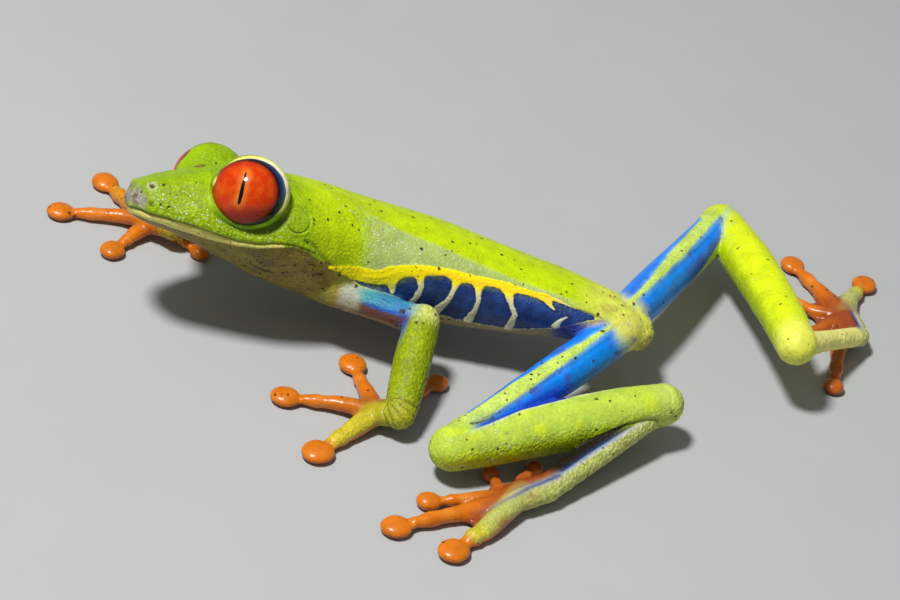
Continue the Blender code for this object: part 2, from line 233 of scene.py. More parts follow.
def distance_to_path(x: Points, y: Points, path: Course) -> Points:
    """How far each flat place (x, y) is from a path."""
    return -ribbon(x, y, tuple((px, py, 0.0) for px, py in path))


# ---- Forms ----


@dataclass
class Form:
    """A closed mesh: its points in millimetres, and its faces."""

    points: Points
    faces: list[tuple[int, ...]]


def tube(rings: Points) -> Form:
    """A closed tube through rings of points.

    Args:
        rings: an array of rings, sides and 3.

    Returns:
        The tube, with a flat cap at each end.
    """
    count, sides = rings.shape[:2]
    faces: list[tuple[int, ...]] = []
    for r in range(count - 1):
        for k in range(sides):
            a, b = r * sides + k, r * sides + (k + 1) % sides
            faces.append((a, b, b + sides, a + sides))
    faces.append(tuple(reversed(range(sides))))
    faces.append(tuple(range((count - 1) * sides, count * sides)))
    return Form(rings.reshape(-1, 3), faces)


def oval(
    middle: Points, side: Points, up: Points, width: float, top: float, bottom: float, sides: int
) -> Points:
    """A ring of points, with its own height above and below.

    Args:
        middle: its middle.
        side: the direction of its width.
        up: the direction of its height.
        width: its half width.
        top: its height above the middle.
        bottom: its height below it.
        sides: how many points it has.

    Returns:
        The ring.
    """
    angle = 2 * np.pi * np.arange(sides)[:, None] / sides
    height = np.where(np.sin(angle) > 0, top, bottom)
    return middle + side * width * np.cos(angle) + up * height * np.sin(angle)


def spheroid(centre: Points, turn: Points, size: Points, segments: int = 96, rings: int = 48) -> Form:
    """A closed ellipsoid.

    Args:
        centre: its middle.
        turn: its axes as columns, with a pole at each end of the last.
        size: its half lengths along them.
        segments: how many points go round it.
        rings: how many rings lie from pole to pole.

    Returns:
        The form.
    """
    angle = 2 * np.pi * np.arange(segments) / segments
    flat = np.stack([np.cos(angle), np.sin(angle), np.zeros(segments)], axis=1)
    pole = vec(0, 0, 1)
    loops = [flat * math.sin(p) - pole * math.cos(p) for p in np.linspace(0.02, math.pi - 0.02, rings)]
    form = tube(centre + (np.array(loops) * size) @ turn.T)
    if np.linalg.det(turn) < 0:
        form.faces = [tuple(reversed(face)) for face in form.faces]
    return form


@dataclass(frozen=True)
class TrunkSlice:
    """A slice of the trunk: its middle, half sizes, and the roll that lifts the left side."""

    middle: tuple[float, float, float]
    width: float
    top: float
    bottom: float
    roll: float


@dataclass(frozen=True)
class HeadSlice:
    """A slice of the head: its distance ahead of the eyes, its widest level and its half sizes."""

    ahead: float
    level: float
    width: float
    top: float
    bottom: float


@dataclass
class BodyPlaces:
    """Where skin points lie on the body, one value for each point.

    Length runs from the vent to the snout in millimetres. Rise is the angle from the middle of the side, from
    -90 on the belly to 90 on the back. Gap is the distance from the body's surface. Ahead, aside and level
    are places in the head's own axes.
    """

    spots: Points
    length: Points
    rise: Points
    gap: Points
    ahead: Points
    aside: Points
    level: Points


@dataclass
class Head:
    """The head's own axes, and the courses of its mouth and lip as (ahead, level)."""

    at: tuple[float, float, float] = (-24.5, 2.4, 14.2)
    yaw: float = 18.7
    pitch: float = 3.0
    roll: float = 27.7
    slices: tuple[HeadSlice, ...] = (
        HeadSlice(-9.5, -4.8, 6.7, 4.6, 6.8),
        HeadSlice(-5.0, -4.0, 7.1, 4.9, 5.9),
        HeadSlice(-1.0, -3.6, 6.9, 5.2, 4.5),
        HeadSlice(2.5, -3.1, 6.1, 4.8, 3.0),
        HeadSlice(5.5, -2.4, 5.0, 3.6, 2.2),
        HeadSlice(8.0, -1.8, 3.7, 2.6, 1.8),
        HeadSlice(9.6, -1.4, 2.6, 1.7, 1.3),
        HeadSlice(10.4, -1.25, 1.3, 0.8, 0.7),
    )
    mouth: Course = (
        (-9.5, -8.2), (-8.0, -7.4), (-6.4, -6.3), (-5.2, -5.6), (-3.6, -5.05), (-2.3, -4.88), (-0.3, -4.88),
        (1.5, -4.65), (2.9, -4.22), (3.6, -3.98), (4.9, -3.5), (6.5, -3.0), (7.8, -2.62), (9.1, -2.3),
        (10.3, -2.05),
    )
    lip: Course = (
        (-3.5, 0.05), (-2.4, 0.3), (1.0, 0.36), (2.7, 0.5), (4.5, 0.68), (6.9, 0.66), (9.0, 0.45),
        (10.3, 0.3),
    )
    nostril: tuple[float, float, float] = (8.55, 1.85, 0.05)
    drum: tuple[float, float] = (-4.0, -2.7)
    drum_radius: float = 1.15

    def axes(self) -> tuple[Points, Points, Points]:
        """The head's own axes.

        Returns:
            Unit vectors ahead, to the frog's right and up.
        """
        yaw, pitch = self.yaw * DEGREE, self.pitch * DEGREE
        ahead = vec(-math.cos(yaw) * math.cos(pitch), -math.sin(yaw) * math.cos(pitch), math.sin(pitch))
        right = turned(unit(np.cross(ahead, vec(0, 0, 1))), ahead, self.roll)
        return ahead, right, np.cross(right, ahead)

    def place(self, ahead: float, aside: float, level: float) -> Points:
        """The point at that place in the head."""
        f, s, u = self.axes()
        return np.array(self.at) + f * ahead + s * aside + u * level

    def local(self, points: Points) -> Points:
        """Points as distances ahead, to the right and up in the head."""
        return (points - np.array(self.at)) @ np.stack(self.axes(), axis=1)


@dataclass
class Body:
    """Trunk and head as one smooth form from the vent to the snout."""

    head: Head = field(default_factory=Head)
    trunk: tuple[TrunkSlice, ...] = (
        TrunkSlice((16.9, -2.8, 5.8), 1.0, 0.7, 0.8, 4),
        TrunkSlice((16.1, -2.8, 6.1), 2.2, 1.4, 1.7, 5),
        TrunkSlice((13.9, -2.4, 6.7), 3.3, 2.0, 2.4, 6),
        TrunkSlice((10.0, -1.4, 7.1), 4.1, 2.5, 2.8, 8),
        TrunkSlice((5.0, -0.1, 7.1), 4.8, 3.2, 3.6, 10),
        TrunkSlice((0.0, 1.2, 7.3), 5.4, 3.8, 4.6, 13),
        TrunkSlice((-5.0, 2.3, 7.8), 6.0, 4.2, 5.4, 17),
        TrunkSlice((-10.0, 3.0, 8.3), 6.4, 4.4, 5.8, 22),
    )
    sides: int = 72
    steps: int = 180

    def rings(self) -> Points:
        """Shapes the body: the trunk follows its spine, and the head keeps its own axes.

        Returns:
            Rings from the vent to the snout.
        """
        first = self.head.slices[0]
        middles = [np.array(s.middle) for s in self.trunk] + [self.head.place(first.ahead, 0, first.level)]
        keys = []
        for k, part in enumerate(self.trunk):
            ahead = unit(middles[k + 1] - middles[max(k - 1, 0)])
            right = turned(unit(np.cross(ahead, vec(0, 0, 1))), ahead, part.roll)
            up = np.cross(right, ahead)
            keys.append(oval(middles[k], right, up, part.width, part.top, part.bottom, self.sides))
        _, right, up = self.head.axes()
        for part in self.head.slices:
            middle = self.head.place(part.ahead, 0, part.level)
            keys.append(oval(middle, right, up, part.width, part.top, part.bottom, self.sides))
        return smooth_line(np.array(keys), self.steps)

    def survey(self, points: Points) -> BodyPlaces:
        """Finds where skin points lie on the body.

        Args:
            points: the skin's points.

        Returns:
            Their places, with a gap of FAR for a point well away from the body.
        """
        rings = self.rings()
        flat = rings.reshape(-1, 3)
        tree = KDTree(len(flat))
        for n, p in enumerate(flat):
            tree.insert(p, n)
        tree.balance()
        low, high = flat.min(0) - 4.0, flat.max(0) + 4.0
        near = np.nonzero(np.all((points > low) & (points < high), axis=1))[0]
        index = np.array([tree.find(p)[1] for p in points[near]])
        i, k = index // self.sides, index % self.sides
        before, after = np.maximum(i - 1, 0), np.minimum(i + 1, self.steps)
        along = (rings[after, k] - rings[before, k]) / (after - before)[:, None]
        round_it = (rings[i, (k + 1) % self.sides] - rings[i, k - 1]) / 2
        off = points[near] - rings[i, k]
        aa, ab, bb = (along * along).sum(1), (along * round_it).sum(1), (round_it * round_it).sum(1)
        oa, ob = (off * along).sum(1), (off * round_it).sum(1)
        det = np.maximum(aa * bb - ab * ab, 1e-12)
        alpha = np.clip((oa * bb - ob * ab) / det, -1, 1)
        beta = np.clip((ob * aa - oa * ab) / det, -1, 1)
        middles = rings.mean(1)
        lengths = np.concatenate([[0], np.cumsum(np.linalg.norm(np.diff(middles, axis=0), axis=1))])
        station = np.clip(i + alpha, 0, self.steps)
        angle = 2 * np.pi * (k + beta) / self.sides
        everywhere = np.arange(self.steps + 1)
        places = BodyPlaces(points, *(np.full(len(points), v) for v in (0.0, 0.0, FAR, 0.0, 0.0, 0.0)))
        places.length[near] = np.interp(station, everywhere, lengths)
        places.rise[near] = np.degrees(np.arcsin(np.clip(np.sin(angle), -1, 1)))
        places.gap[near] = np.linalg.norm(off - along * alpha[:, None] - round_it * beta[:, None], axis=1)
        local = self.head.local(points)
        places.ahead, places.aside, places.level = local[:, 0], local[:, 1], local[:, 2]
        return places


@dataclass
class Eye:
    """An eye: its place in the head, and the half lengths of ball, lid, opening between the lids and iris."""

    side: Side
    head: Head
    ahead: float = 0.2
    aside: float = 5.1
    level: float = -0.25
    forward: float = 25.0
    upward: float = 10.0
    ball: tuple[float, float, float] = (3.56, 3.3, 3.36)
    lid: tuple[float, float, float] = (3.7, 3.4, 3.52)
    opening: tuple[float, float] = (3.47, 3.12)
    iris: tuple[float, float] = (3.04, 2.88)
    iris_ahead: float = 0.34
    cup: float = 0.93
    rim: float = 1.035
    ring_width: Course = (
        (0, 0.0), (20, -0.06), (45, -0.04), (70, 0.05), (90, 0.14), (135, 0.26), (180, 0.28), (215, 0.12),
        (235, -0.1), (270, -0.5), (320, -0.5), (345, -0.04), (360, 0.0),
    )

    def centre(self) -> Points:
        """The middle of the ball."""
        return self.head.place(self.ahead, self.side.value * self.aside, self.level)

    def turn(self) -> Points:
        """The eye's own axes.

        Returns:
            Unit vectors ahead, up and out, as columns.
        """
        f, s, u = self.head.axes()
        forward, upward = self.forward * DEGREE, self.upward * DEGREE
        level = s * self.side.value * math.cos(forward) + f * math.sin(forward)
        out = unit(level * math.cos(upward) + u * math.sin(upward))
        ahead = unit(f - out * (f @ out))
        up = np.cross(out, ahead) * -self.side.value
        return np.stack([ahead, up * np.sign(up @ u), out], axis=1)

    def local(self, points: Points) -> Points:
        """Points as distances ahead, up and out from the middle of the ball."""
        return (points - self.centre()) @ self.turn()

    def lid_places(self, points: Points) -> tuple[Points, Points, Points]:
        """Finds where skin points lie on the lids.

        Args:
            points: the skin's points.

        Returns:
            Millimetres outside the opening's edge, the angle round it, and the share that is lid.
        """
        x, y, out = self.local(points).T
        across = np.hypot(x / self.opening[0], y / self.opening[1])
        size = np.linalg.norm(self.local(points) / np.array(self.ball), axis=1)
        angle = np.degrees(np.arctan2(y, x)) % 360
        return (across - 1) * self.opening[1], angle, step(out, -0.6, 0.2) * step(size, 1.7, 1.35)

    def lid_gap(self, points: Points) -> Points:
        """The distance of points from the lids' form."""
        return np.abs(np.linalg.norm(self.local(points) / np.array(self.lid), axis=1) - 1) * self.lid[1]

    def lid_form(self) -> Form:
        """The lids as a closed form round the ball."""
        return spheroid(self.centre(), self.turn(), np.array(self.lid))

    def open_lids(self, points: Points) -> Points:
        """Sinks the skin inside the opening under the ball, and rolls the edge of the lids.

        Args:
            points: the skin's points.

        Returns:
            The shaped points.
        """
        local = self.local(points)
        edge, _, share = self.lid_places(points)
        size = np.linalg.norm(local / np.array(self.ball), axis=1)
        outside = self.rim + (size - self.rim) * step(edge, 0.15, 1.1) + 0.018 * bell(edge - 0.2, 0.13)
        wanted = self.cup + (outside - self.cup) * step(edge, -0.1, 0.12)
        local *= (1 + (wanted / size - 1) * np.where(edge < 0.3, step(share, 0, 0.2), share))[:, None]
        return self.centre() + local @ self.turn().T


@dataclass
class Segment:
    """A limb's segment: a straight tube with round ends, and (share, half width, half height) along it."""

    name: str
    side: Side
    start: Points
    end: Points
    profile: tuple[tuple[float, float, float], ...]
    bow: float = 0.0
    sides: int = 36
    steps: int = 26
    cap_angles: tuple[float, ...] = (75, 60, 45, 30, 15, 5)

    @property
    def length(self) -> float:
        """From joint to joint."""
        return float(np.linalg.norm(self.end - self.start))

    def axes(self) -> tuple[Points, Points, Points]:
        """The segment's own axes.

        Returns:
            Unit vectors along it, to its side and up.
        """
        ahead = unit(self.end - self.start)
        side = unit(np.cross(ahead, vec(0, 0, 1)))
        return ahead, side, np.cross(side, ahead)

    def rings(self) -> Points:
        """Shapes the segment.

        Returns:
            Rings from one round end to the other.
        """
        ahead, side, up = self.axes()
        shares, widths, heights = smooth_line(np.array(self.profile), self.steps).T
        stations = [(s * self.length, w, h) for s, w, h in zip(shares, widths, heights)]
        for angle in self.cap_angles:
            back, across = math.cos(angle * DEGREE), math.sin(angle * DEGREE)
            stations.insert(0, (-back * widths[0], across * widths[0], across * heights[0]))
            stations.append((self.length + back * widths[-1], across * widths[-1], across * heights[-1]))
        rings = []
        for x, width, height in stations:
            share = min(max(x / self.length, 0), 1)
            middle = self.start + ahead * x + side * self.bow * 4 * share * (1 - share)
            rings.append(oval(middle, side, up, width, height, height, self.sides))
        return np.array(rings)

    def survey(self, points: Points) -> tuple[Points, Points, Points, Points]:
        """Finds where skin points lie on the segment.

        Args:
            points: the skin's points.

        Returns:
            The share along it, the lean in degrees from the top towards the outer or rear side, the gap from
            its surface, and its radius there.
        """
        ahead, side, up = self.axes()
        off = points - self.start
        share = off @ ahead / self.length
        x, y = off @ side, off @ up
        shares, widths, heights = np.array(self.profile).T
        inside = np.clip(share, 0, 1)
        x = x - self.bow * 4 * inside * (1 - inside)
        width, height = np.interp(inside, shares, widths), np.interp(inside, shares, heights)
        over = (share - inside) * self.length
        reach = np.sqrt((x / width) ** 2 + (y / height) ** 2 + (over / width) ** 2)
        radius = (width + height) / 2
        lean = (np.degrees(np.arctan2(y, x)) - 90) * -self.side.value
        return share, (lean + 180) % 360 - 180, (reach - 1) * radius, radius


@dataclass
class Digit:
    """A finger or toe: its knuckle, the middle of its disc on the floor, and its own and its disc's size."""

    knuckle: Points
    tip: Points
    width: float
    disc: float
    radius: float = 0.62
    disc_size: tuple[float, float, float] = (1.3, 1.2, 0.7)
    disc_level: float = 0.6
    knob: float = 0.2
    sides: int = 24
    disc_angles: tuple[float, ...] = (150, 132, 115, 98, 80, 62, 45, 30, 16, 6)

    def centre(self) -> Points:
        """The middle of the disc."""
        return self.tip + vec(0, 0, self.disc_level)

    def rings(self, root: Points) -> Points:
        """Shapes the digit.

        Args:
            root: where it starts, inside the palm or sole.

        Returns:
            Rings from the root over the knuckle to the far edge of the disc.
        """
        run = self.tip - self.knuckle
        run[2] = 0
        run = unit(run)
        reach = self.disc_size[0] * self.disc
        neck = self.centre() - run * reach * 1.15 + vec(0, 0, 0.1)
        spine = np.array([root, self.knuckle, (self.knuckle + neck) / 2, neck])
        r = self.radius * self.width
        sizes = np.array([(1.5, 1.3), (1.25, 1.15), (1.0, 0.95), (0.86, 0.8)]) * r
        places, halves = list(smooth_line(spine, 20)), list(smooth_line(sizes, 20))
        for n, share in enumerate(np.linspace(0, 1, 21)):
            halves[n] = halves[n] * (1 + self.knob * math.exp(-(((share - 0.8) / 0.09) ** 2)))
        for angle in self.disc_angles:
            along, across = math.cos(angle * DEGREE), math.sin(angle * DEGREE)
            places.append(self.centre() + run * reach * along)
            halves.append(np.array([self.disc_size[1] * self.disc * across, self.disc_size[2] * across]))
        rings = []
        for n, place in enumerate(places):
            ahead = unit(places[min(n + 1, len(places) - 1)] - places[max(n - 1, 0)])
            side = unit(np.cross(ahead, vec(0, 0, 1)))
            width, height = halves[n]
            rings.append(oval(place, side, np.cross(side, ahead), width, height, height, self.sides))
        return np.array(rings)

    def along(self, root: Points, share: float, knuckle_share: float = 0.4) -> Points:
        """Finds a point in the digit.

        Args:
            root: where it starts.
            share: the share of the way to the disc.
            knuckle_share: the share at which the knuckle lies.

        Returns:
            The point.
        """
        if share < knuckle_share:
            return root + (self.knuckle - root) * share / knuckle_share
        return self.knuckle + (self.centre() - self.knuckle) * (share - knuckle_share) / (1 - knuckle_share)

    def survey(self, root: Points, points: Points) -> tuple[Points, Points]:
        """Finds where skin points lie on the digit.

        Args:
            root: where it starts.
            points: the skin's points.

        Returns:
            The share along it, 0 at its root and 1 at the disc's middle, and the gap from its surface.
        """
        spine = (root, self.knuckle, self.centre())
        lengths = [np.linalg.norm(b - a) for a, b in zip(spine, spine[1:])]
        best, share, done = np.full(len(points), FAR * 9), np.zeros(len(points)), 0.0
        for a, b, length in zip(spine, spine[1:], lengths):
            t = np.clip((points - a) @ (b - a) / length**2, 0, 1)
            gap = np.linalg.norm(points - a - t[:, None] * (b - a), axis=1)
            share = np.where(gap < best, (done + t * length) / sum(lengths), share)
            best, done = np.minimum(best, gap), done + length
        radius = self.radius * self.width * (1.35 - 0.4 * step(share, 0, 0.5))
        radius = radius + (self.disc_size[1] * self.disc - radius) * step(share, 0.78, 0.92)
        return share, best - radius


def web(
    root: Points, first: Digit, second: Digit, reach: float, thickness: float = 0.42, hollow: float = 0.35
) -> Form:
    """A thin membrane in the fork of two digits, with a hollow free edge.

    Args:
        root: where both digits start.
        first: the digit on one side.
        second: the digit on the other side.
        reach: how far along the digits it goes, as a share of their length.
        thickness: its thickness.
        hollow: how far its edge sinks between them, as a share of the reach.

    Returns:
        The membrane as a closed form.
    """
    rows, columns = np.linspace(0.25, 1.0, 14), 15
    top = []
    for row in rows:
        for c in range(columns):
            across = c / (columns - 1)
            share = row * reach * (1 - hollow * 4 * across * (1 - across))
            a, b = first.along(root, share), second.along(root, share)
            place = a + (b - a) * across
            place[2] = place[2] * 0.86 - 0.12 * math.sin(math.pi * across) + thickness / 2
            top.append(place)
    points = np.array(top + [p - vec(0, 0, thickness) for p in top])
    count, faces = len(top), []
    for r in range(len(rows) - 1):
        for c in range(columns - 1):
            a = r * columns + c
            quad = (a, a + 1, a + 1 + columns, a + columns)
            faces += [quad, tuple(k + count for k in reversed(quad))]
    last = (len(rows) - 1) * columns
    rim = list(range(columns)) + [r * columns + columns - 1 for r in range(1, len(rows))]
    rim += [last + c for c in range(columns - 2, -1, -1)] + [r * columns for r in range(len(rows) - 2, 0, -1)]
    faces += [(b, a, a + count, b + count) for a, b in zip(rim, rim[1:] + rim[:1])]
    return Form(points, faces)


@dataclass
class Limb:
    """An arm or a leg: its segments from the body to palm or sole, its digits and the reach of its webs."""

    segments: list[Segment]
    root: Points
    digits: list[Digit]
    web_reach: float

    def forms(self) -> list[Form]:
        """All the closed forms of the limb."""
        forms = [tube(s.rings()) for s in self.segments] + [tube(d.rings(self.root)) for d in self.digits]
        return forms + [web(self.root, a, b, self.web_reach) for a, b in zip(self.digits, self.digits[1:])]


DigitRow = tuple[Triple, tuple[float, float], float, float]
UPPER_ARM = ((0.0, 1.4, 1.45), (0.25, 1.4, 1.38), (0.55, 1.35, 1.3), (1.0, 1.6, 1.5))
FOREARM = ((0.0, 1.7, 1.7), (0.45, 1.75, 1.75), (0.85, 1.6, 1.5), (1.0, 1.5, 1.4))
PALM = ((0.0, 1.4, 1.2), (1.0, 1.7, 1.1))


def make_limb(
    side: Side,
    names: tuple[str, ...],
    joints: tuple[Triple, ...],
    profiles: tuple[tuple[Triple, ...], ...],
    digits: tuple[DigitRow, ...],
    web_reach: float,
    bow: float = 0.0,
) -> Limb:
    """Builds a limb from its joints, the last of which is the root of the digits.

    Args:
        side: the frog's side.
        names: the segments' names from the body out.
        joints: one joint more than there are segments.
        profiles: each segment's profile.
        digits: each digit's knuckle, tip, width and disc.
        web_reach: how far the webs go along the digits.
        bow: how far the second segment bends sideways in its middle.

    Returns:
        The limb.
    """
    places = [np.array(j) for j in joints]
    rows = zip(names, places, places[1:], profiles)
    segments = [Segment(name, side, a, b, profile) for name, a, b, profile in rows]
    segments[1].bow = bow
    fingers = [Digit(np.array(knuckle), vec(*tip, 0), width, disc) for knuckle, tip, width, disc in digits]
    return Limb(segments, places[-1], fingers, web_reach)


@dataclass
class Frog:
    """The whole animal in its pose."""

    body: Body = field(default_factory=Body)
    eyes: list[Eye] = field(default_factory=list)
    limbs: list[Limb] = field(default_factory=list)
    fold: tuple[tuple[Triple, float], ...] = (
        ((-20.5, 1.2, 6.6), 1.2), ((-16.8, -0.7, 6.6), 1.5), ((-13.2, -2.5, 6.55), 1.5),
        ((-10.0, -3.9, 6.65), 1.2),
    )

    def __post_init__(self) -> None:
        """Makes the eyes and the limbs."""
        arm, leg = ("upper_arm", "forearm", "palm"), ("thigh", "shank", "tarsus", "sole")
        self.eyes = [Eye(side, self.body.head) for side in Side]
        left_arm = ((-13.2, -2.5, 6.5), (-5.5, -5.9, 6.75), (-7.3, -14.8, 2.6), (-9.1, -13.5, 1.5))
        right_arm = ((-15.0, 6.4, 6.6), (-20.0, 15.8, 5.2), (-28.4, 11.2, 2.5), (-30.2, 12.9, 1.5))
        left_leg = (
            (13.8, -4.0, 6.8), (-2.9, -20.0, 3.3), (17.6, -11.5, 4.4), (6.0, -22.3, 1.7), (3.6, -23.4, 1.5),
        )
        right_leg = (
            (14.7, -1.2, 6.9), (27.0, 18.6, 5.1), (30.9, -3.9, 7.5), (40.2, 6.4, 1.9), (39.8, 10.6, 1.4),
        )
        self.limbs = [
            make_limb(Side.LEFT, arm, left_arm, (UPPER_ARM, FOREARM, PALM), (
                ((-6.3, -10.8, 0.9), (-3.0, -6.9), 0.9, 0.9),
                ((-10.0, -9.9, 1.0), (-11.05, -5.45), 1.0, 1.12),
                ((-12.3, -12.2, 1.0), (-17.55, -11.5), 1.0, 1.12),
                ((-11.1, -15.4, 1.0), (-14.7, -19.1), 1.25, 1.25),
            ), 0.5),
            make_limb(Side.RIGHT, arm, right_arm, (UPPER_ARM, FOREARM, PALM), (
                ((-28.0, 11.9, 0.9), (-25.6, 10.0), 0.9, 0.85),
                ((-31.9, 11.4, 1.0), (-34.1, 8.7), 1.0, 1.02),
                ((-33.2, 14.0, 1.0), (-39.3, 14.2), 1.0, 1.08),
                ((-32.3, 15.8, 1.0), (-35.1, 20.1), 1.2, 1.12),
            ), 0.5),
            make_limb(Side.LEFT, leg, left_leg, (
                ((0.0, 2.0, 1.9), (0.3, 2.1, 2.1), (0.75, 1.9, 1.95), (1.0, 2.0, 1.9)),
                ((0.0, 2.1, 2.1), (0.35, 2.45, 2.4), (0.8, 2.3, 2.3), (1.0, 1.95, 2.0)),
                ((0.0, 1.4, 1.35), (0.5, 1.4, 1.2), (1.0, 1.35, 1.15)),
                ((0.0, 1.4, 1.2), (1.0, 1.7, 1.1)),
            ), (
                ((4.0, -20.6, 0.8), (5.4, -18.3), 0.85, 0.75),
                ((1.8, -22.0, 0.8), (1.2, -19.7), 0.85, 0.75),
                ((-1.0, -24.0, 0.9), (-4.8, -24.5), 0.9, 0.92),
                ((-1.2, -25.7, 0.9), (-7.95, -28.5), 1.1, 1.15),
                ((0.3, -27.8, 0.9), (-2.9, -31.0), 1.3, 1.2),
            ), 0.72),
            make_limb(Side.RIGHT, leg, right_leg, (
                ((0.0, 2.0, 1.9), (0.3, 2.1, 2.15), (0.75, 2.0, 2.0), (1.0, 2.1, 2.0)),
                ((0.0, 2.2, 2.1), (0.35, 2.4, 2.3), (0.8, 2.15, 2.1), (1.0, 2.0, 2.0)),
                ((0.0, 1.35, 1.2), (0.5, 1.1, 0.95), (1.0, 1.1, 0.95)),
                ((0.0, 1.15, 1.0), (1.0, 1.3, 1.0)),
            ), (
                ((38.4, 5.6, 0.9), (36.9, -0.6), 1.1, 0.85),
                ((37.4, 8.8, 0.9), (34.6, 7.2), 0.85, 0.75),
                ((37.0, 11.2, 0.9), (32.8, 14.4), 0.9, 0.85),
                ((38.3, 14.2, 0.9), (35.8, 19.5), 1.1, 1.05),
                ((40.8, 13.8, 0.9), (43.1, 17.5), 1.2, 1.08),
            ), 0.72, -0.5),
        ]

    def shoulder(self) -> Form:
        """Shapes the fold that runs out of the chest into the near arm.

        Returns:
            The fold as a closed form.
        """
        ahead = unit(np.array(self.fold[-1][0]) - np.array(self.fold[0][0]))
        right = unit(np.cross(ahead, vec(0, 0, 1)))
        up = np.cross(right, ahead)
        rings = [oval(vec(*at), right, up, r, r, r, 32) for at, r in self.fold]
        return tube(smooth_line(np.array(rings), 18))

    def forms(self) -> list[Form]:
        """All the closed forms that the skin is cast over."""
        forms = [tube(self.body.rings()), self.shoulder()] + [eye.lid_form() for eye in self.eyes]
        return forms + [form for limb in self.limbs for form in limb.forms()]


@dataclass
class Placing:
    """Sets millimetres in the pose's axes on the frame, in metres, by the places of the frame's two eyes."""

    scale: float
    shift: Points

    @classmethod
    def on_frame(cls, frog: Frog) -> "Placing":
        """Measures the frame's eyes against the frog's own.

        Args:
            frog: the frog.

        Returns:
            The placing.
        """
        seen = []
        for eye in frog.eyes:
            low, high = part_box(f"eye_{eye.side.word}")
            seen.append(np.array((low + high) / 2))
        mine = [eye.centre() for eye in frog.eyes]
        scale = float(np.linalg.norm(seen[1] - seen[0]) / np.linalg.norm(mine[1] - mine[0]))
        return cls(scale, (seen[0] + seen[1]) / 2 - (mine[0] + mine[1]) / 2 * scale)

    def set(self, points: Points) -> Points:
        """Points in metres on the frame."""
        return points * self.scale + self.shift


# ---- Skin: cast, smoothed and shaped ----


@dataclass
class Net:
    """A mesh of points with its edges and faces, for smoothing and for normals."""

    points: Points
    faces: Points
    edges: Points

    def average(self, values: Points) -> Points:
        """Averages values over each point's neighbours.

        Args:
            values: a number or a row for each point.

        Returns:
            The means.
        """
        a, b = self.edges.T
        count = np.bincount(a, minlength=len(values)) + np.bincount(b, minlength=len(values))
        columns = values if values.ndim == 2 else values[:, None]
        total = np.stack([
            np.bincount(a, c[b], len(values)) + np.bincount(b, c[a], len(values)) for c in columns.T
        ], axis=1)
        mean = total / np.maximum(count, 1)[:, None]
        return mean if values.ndim == 2 else mean[:, 0]

    def smooth(self, rounds: int, share: Points | float = 1.0, pull: float = 0.55, push: float = 0.0) -> None:
        """Smooths the points.

        Args:
            rounds: how often.
            share: how much of it each point takes.
            pull: the step towards the neighbours' mean.
            push: the step back after it, which keeps the volume.
        """
        weight = share[:, None] if isinstance(share, np.ndarray) else share
        for _ in range(rounds):
            self.points = self.points + (self.average(self.points) - self.points) * pull * weight
            if push:
                self.points = self.points - (self.average(self.points) - self.points) * push * weight

    def normals(self) -> Points:
        """Works out which way the skin faces.

        Returns:
            A unit normal at each point.
        """
        a, b, c, d = (self.points[self.faces[:, n]] for n in range(4))
        face = np.cross(c - a, d - b)
        total = np.zeros_like(self.points)
        for n in range(4):
            for axis in range(3):
                total[:, axis] += np.bincount(self.faces[:, n], face[:, axis], len(self.points))
        return unit(total + 1e-12)


def cast_net(forms: list[Form], grain: float) -> Net:
    """Casts one closed skin over overlapping forms.

    Args:
        forms: closed forms, in millimetres.
        grain: the size of its faces.

    Returns:
        The largest piece of the skin.
    """
    points, faces, done = [], [], 0
    for form in forms:
        points.append(form.points)
        faces += [tuple(k + done for k in face) for face in form.faces]
        done += len(form.points)
    mesh = bpy.data.meshes.new("cast")
    mesh.from_pydata(np.concatenate(points).tolist(), [], faces)
    mesh.update()
    piece = bpy.data.objects.new("cast", mesh)
    bpy.context.scene.collection.objects.link(piece)
    remesh = piece.modifiers.new("remesh", "REMESH")
    remesh.mode, remesh.voxel_size, remesh.adaptivity = "VOXEL", grain, 0.0
    done_mesh = piece.evaluated_get(bpy.context.evaluated_depsgraph_get()).to_mesh()
    found = np.empty(len(done_mesh.vertices) * 3)
    done_mesh.vertices.foreach_get("co", found)
    found = found.reshape(-1, 3)
    loops = np.empty(len(done_mesh.loops), int)
    done_mesh.loops.foreach_get("vertex_index", loops)
    quads = loops.reshape(-1, 4)
    edges = np.empty(len(done_mesh.edges) * 2, int)
    done_mesh.edges.foreach_get("vertices", edges)
    edges = edges.reshape(-1, 2)
    bpy.data.objects.remove(piece)
    bpy.data.meshes.remove(mesh)
    label = np.arange(len(found))
    while True:
        low = label.copy()
        np.minimum.at(low, edges[:, 0], label[edges[:, 1]])
        np.minimum.at(low, edges[:, 1], label[edges[:, 0]])
        low = low[low]
        if np.array_equal(low, label):
            break
        label = low
    keep = label == np.bincount(label).argmax()
    fresh = np.cumsum(keep) - 1
    return Net(found[keep], fresh[quads[keep[quads[:, 0]]]], fresh[edges[keep[edges[:, 0]]]])


# ---- Colours and relief ----

LIME = (0.53, 0.70, 0.0)
HEAD_GREEN = (0.30, 0.48, 0.0)
LORE_GREEN = (0.31, 0.46, 0.0)
DRUM_GREEN = (0.31, 0.45, 0.01)
SHOULDER_GREEN = (0.49, 0.67, 0.0)
# painted sheen and shade: the grey-green on the trunk's sides
SHEEN_SHADE_GREEN = (0.40, 0.50, 0.15)
RUMP_YELLOW = (0.74, 0.75, 0.12)
# the pale belly and throat, darkened with painted shade from the body above them
BELLY_CREAM_SHADED = (0.40, 0.32, 0.15)
THROAT_BEIGE_SHADED = (0.26, 0.205, 0.035)
SCUFF_GREY = (0.40, 0.33, 0.34)
SCUFF_BROWN = (0.13, 0.07, 0.03)
SHADOW = (0.012, 0.008, 0.006)
